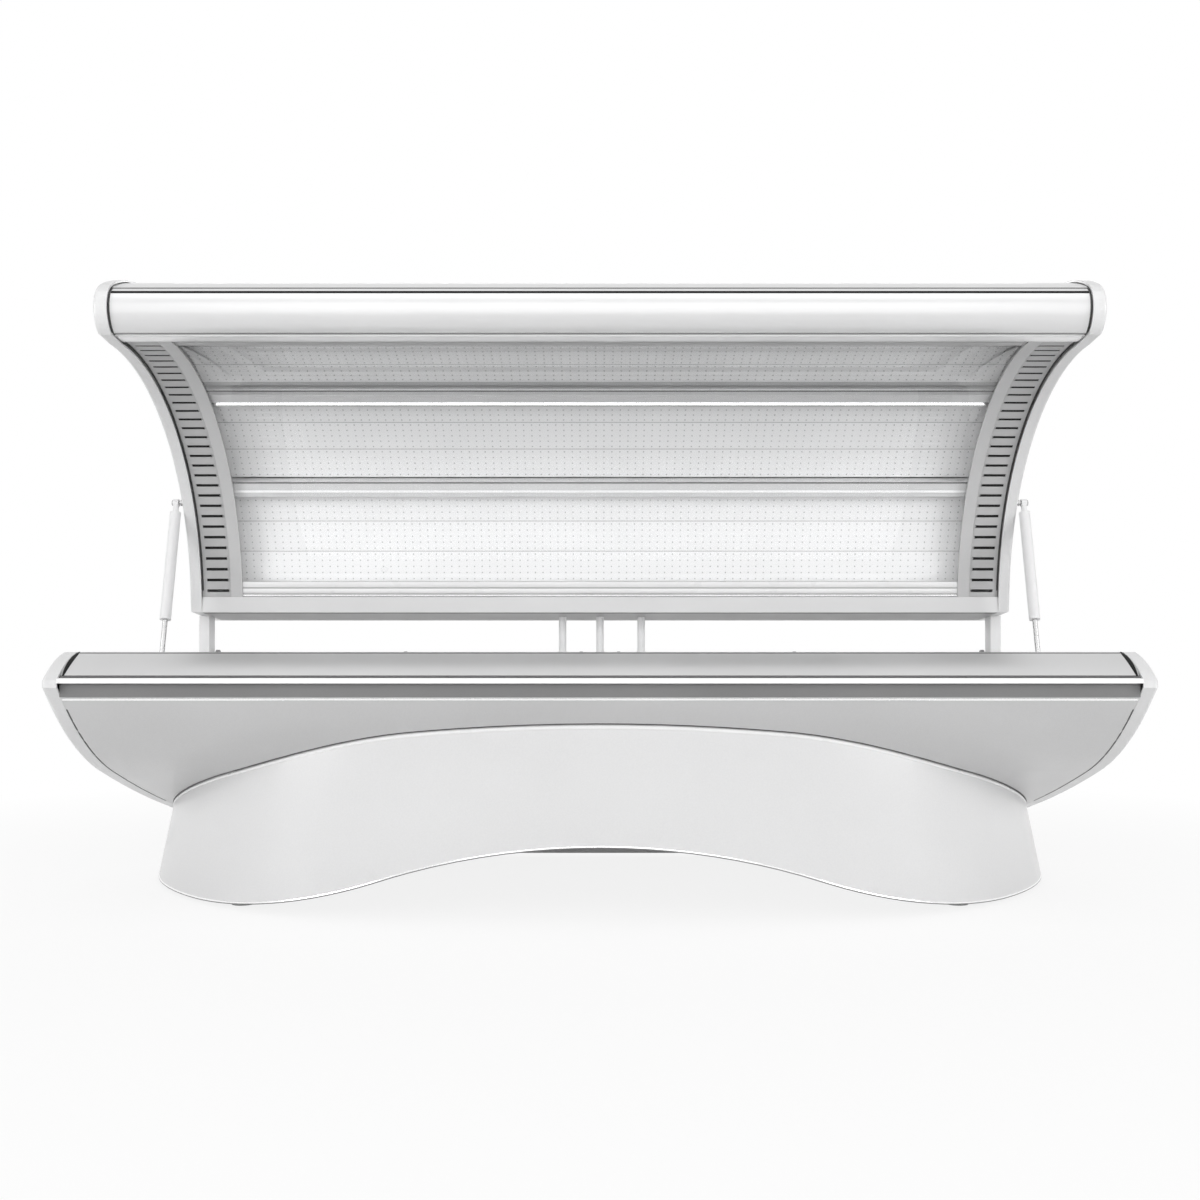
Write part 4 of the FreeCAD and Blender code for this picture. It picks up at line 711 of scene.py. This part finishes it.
TOP_RIM = Bead(radius=4.0 * MM, sink=2.2 * MM, rise=-2.6 * MM)
TOP_SHADOW = Bead(radius=2.4 * MM, sink=1.4 * MM, rise=0)
LOW_RIM = Bead(radius=2.2 * MM, sink=1.0 * MM, rise=2.4 * MM)
LOW_SHADE = Bead(radius=1.2 * MM, sink=0.6 * MM, rise=0.2 * MM)


def outer_rim(node, upper):
    """The outer edge along a shell's top or bottom, as points and outward ways from left to right."""
    solid = welded(node)
    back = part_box(node)[1].y
    way = 1 if upper else -1
    outs_at = {}
    for edge in solid.edges:
        if len(edge.link_faces) != 2:
            continue
        wall, lip = sorted(edge.link_faces, key=lambda face: abs(face.normal.z))
        spot = (edge.verts[0].co + edge.verts[1].co) / 2
        facing = wall.normal.x * spot.x + wall.normal.y * (spot.y - back)
        if facing > 0 and lip.normal.z * way > WALL_LIMIT and abs(wall.normal.z) < WALL_LIMIT:
            for corner in edge.verts:
                outs_at.setdefault(corner, []).append(wall.normal.copy())
    trace = [(corner.co.copy(), sum(outs, Vector()).normalized()) for corner, outs in outs_at.items()]
    trace.sort(key=lambda point: math.atan2(point[0].y - back - END_CLEAR, point[0].x))
    solid.free()
    return trace


def on_surface(node, trace, rise):
    """A trace laid on the nearest face of a node and moved up along it by rise."""
    laid = []
    for spot, _ in trace:
        _, near, normal, _ = nodes[node].closest_point_on_mesh(spot)
        climb = (Vector((0, 0, 1)) - normal * normal.z).normalized()
        _, near, normal, _ = nodes[node].closest_point_on_mesh(near + climb * rise)
        laid.append((near, normal))
    return laid


def bead_along(name, trace, bead, finish, slot):
    """A round bead on the bed along a trace of points and outward ways."""
    rings = []
    for index, (spot, out) in enumerate(trace):
        before = trace[max(index - 1, 0)][0]
        after = trace[min(index + 1, len(trace) - 1)][0]
        along = (after - before).normalized()
        up = out.cross(along).normalized()
        middle = spot - out * bead.sink + up * bead.rise
        ring = []
        for side in range(BEAD_SIDES):
            turn = 2 * math.pi * side / BEAD_SIDES
            ring.append(middle + (out * math.cos(turn) + up * math.sin(turn)) * bead.radius)
        rings.append(ring)
    make_piece(name, *loft(rings), finish, "bed", slot)


top_edge = outer_rim("plinth_front_fascia", upper=True)
low_edge = outer_rim("plinth_front_fascia", upper=False)
hull_edge = on_surface("hull_shell", top_edge, SHADOW_RISE)
# A round rim whose whiter colour is a painted highlight on the fascia's top edge
bead_along("fascia_top_rim_highlight", top_edge, TOP_RIM, WHITE_EDGE_AND_HIGHLIGHT, "white_gloss")
# Painted shadow: a dark bead on the hull along the reveal above the fascia
bead_along("fascia_top_painted_shadow", hull_edge, TOP_SHADOW, DARK_LINE_AND_SHADOW, "grey_inlay")
bead_along("fascia_low_rim", low_edge, LOW_RIM, POLISHED_EDGE, "white_gloss")
# Painted shade: a grey bead under the fascia's rounded foot
bead_along("fascia_low_painted_shade", low_edge, LOW_SHADE, GREY_LINE_AND_SHADE, "grey_inlay")


# Stage: a pale floor that keeps a soft shadow and fades to white

FLOOR_HALF = 30.0
FLOOR_SHADE = 0.86
NEAR_WHITE = 0.85
FADE_START = 1.0
FADE_END = 2.8


def seen_rays(tree):
    """One for a ray from the camera, a mirror or a clear sheet, and nothing for a ray that lights."""
    path = tree.nodes.new("ShaderNodeLightPath")
    total = path.outputs["Is Camera Ray"]
    for kind in ("Is Glossy Ray", "Is Transmission Ray"):
        add = tree.nodes.new("ShaderNodeMath")
        add.operation = "ADD"
        add.use_clamp = True
        tree.links.new(total, add.inputs[0])
        tree.links.new(path.outputs[kind], add.inputs[1])
        total = add.outputs["Value"]
    return total


def floor_finish():
    """A pale floor with a share of plain white, which grows to the whole away from the bed."""
    finish = Finish("floor", Base_Color=(FLOOR_SHADE, FLOOR_SHADE, FLOOR_SHADE, 1), Roughness=0.9)
    distance = finish.node("VectorMath", Vector=finish.place)
    distance.operation = "LENGTH"
    fade = finish.node(
        "MapRange",
        Value=distance.outputs["Value"],
        From_Min=FADE_START,
        From_Max=FADE_END,
        To_Min=NEAR_WHITE,
        To_Max=1.0,
    )
    share = finish.node("Math")
    share.operation = "MULTIPLY"
    finish.feed(share.inputs[0], seen_rays(finish.tree))
    finish.feed(share.inputs[1], fade.outputs["Result"])
    white = finish.node("Emission", Color=WHITE, Strength=1.0)
    finish.mix_in(share.outputs["Value"], white.outputs["Emission"])
    return finish.material


floor_corners = [(x * FLOOR_HALF, y * FLOOR_HALF, 0) for x, y in ((-1, -1), (1, -1), (1, 1), (-1, 1))]
floor_mesh = bpy.data.meshes.new("floor")
floor_mesh.from_pydata(floor_corners, [], [(0, 1, 2, 3)])
floor_mesh.materials.append(floor_finish())
floor = bpy.data.objects.new("floor", floor_mesh)
bpy.context.scene.collection.objects.link(floor)


# Light: a white world, and wide soft boxes around and over the bed

WORLD_LIGHT = 0.215

world = bpy.data.worlds.new("studio")
world.use_nodes = True
bpy.context.scene.world = world
tree = world.node_tree
lit = tree.nodes["Background"]
lit.inputs["Color"].default_value = WHITE
lit.inputs["Strength"].default_value = WORLD_LIGHT
shown = tree.nodes.new("ShaderNodeBackground")
shown.inputs["Color"].default_value = WHITE
shown.inputs["Strength"].default_value = 1.0
choice = tree.nodes.new("ShaderNodeMixShader")
tree.links.new(seen_rays(tree), choice.inputs["Fac"])
tree.links.new(lit.outputs["Background"], choice.inputs[1])
tree.links.new(shown.outputs["Background"], choice.inputs[2])
tree.links.new(choice.outputs["Shader"], tree.nodes["World Output"].inputs["Surface"])


def soft_box(name, spot, target, width, height, power):
    """A wide lamp that looks at a target."""
    lamp = bpy.data.lights.new(name, "AREA")
    lamp.shape = "RECTANGLE"
    lamp.size = width
    lamp.size_y = height
    lamp.energy = power
    holder = bpy.data.objects.new(name, lamp)
    holder.location = spot
    holder.rotation_euler = (Vector(target) - Vector(spot)).to_track_quat("-Z", "Y").to_euler()
    bpy.context.scene.collection.objects.link(holder)


soft_box("front_box", spot=(0, -4.4, 2.5), target=(0, 0, 0.8), width=5.0, height=1.8, power=42)
soft_box("low_box", spot=(0, -4.4, 0.9), target=(0, 0, 0.7), width=5.0, height=1.2, power=22)
for side, sign in SIDES:
    place = (4.0 * sign, -2.5, 1.5)
    soft_box(f"{side}_box", spot=place, target=(0, 0, 0.7), width=2.0, height=2.0, power=68)
soft_box("back_box", spot=(0, 4.6, 2.4), target=(0, 0, 0.7), width=5.0, height=1.8, power=60)
soft_box("top_box", spot=(0, -1.5, 3.4), target=(0, -0.4, 0.4), width=4.5, height=1.6, power=31)


bpy.context.scene.view_settings.view_transform = "Standard"
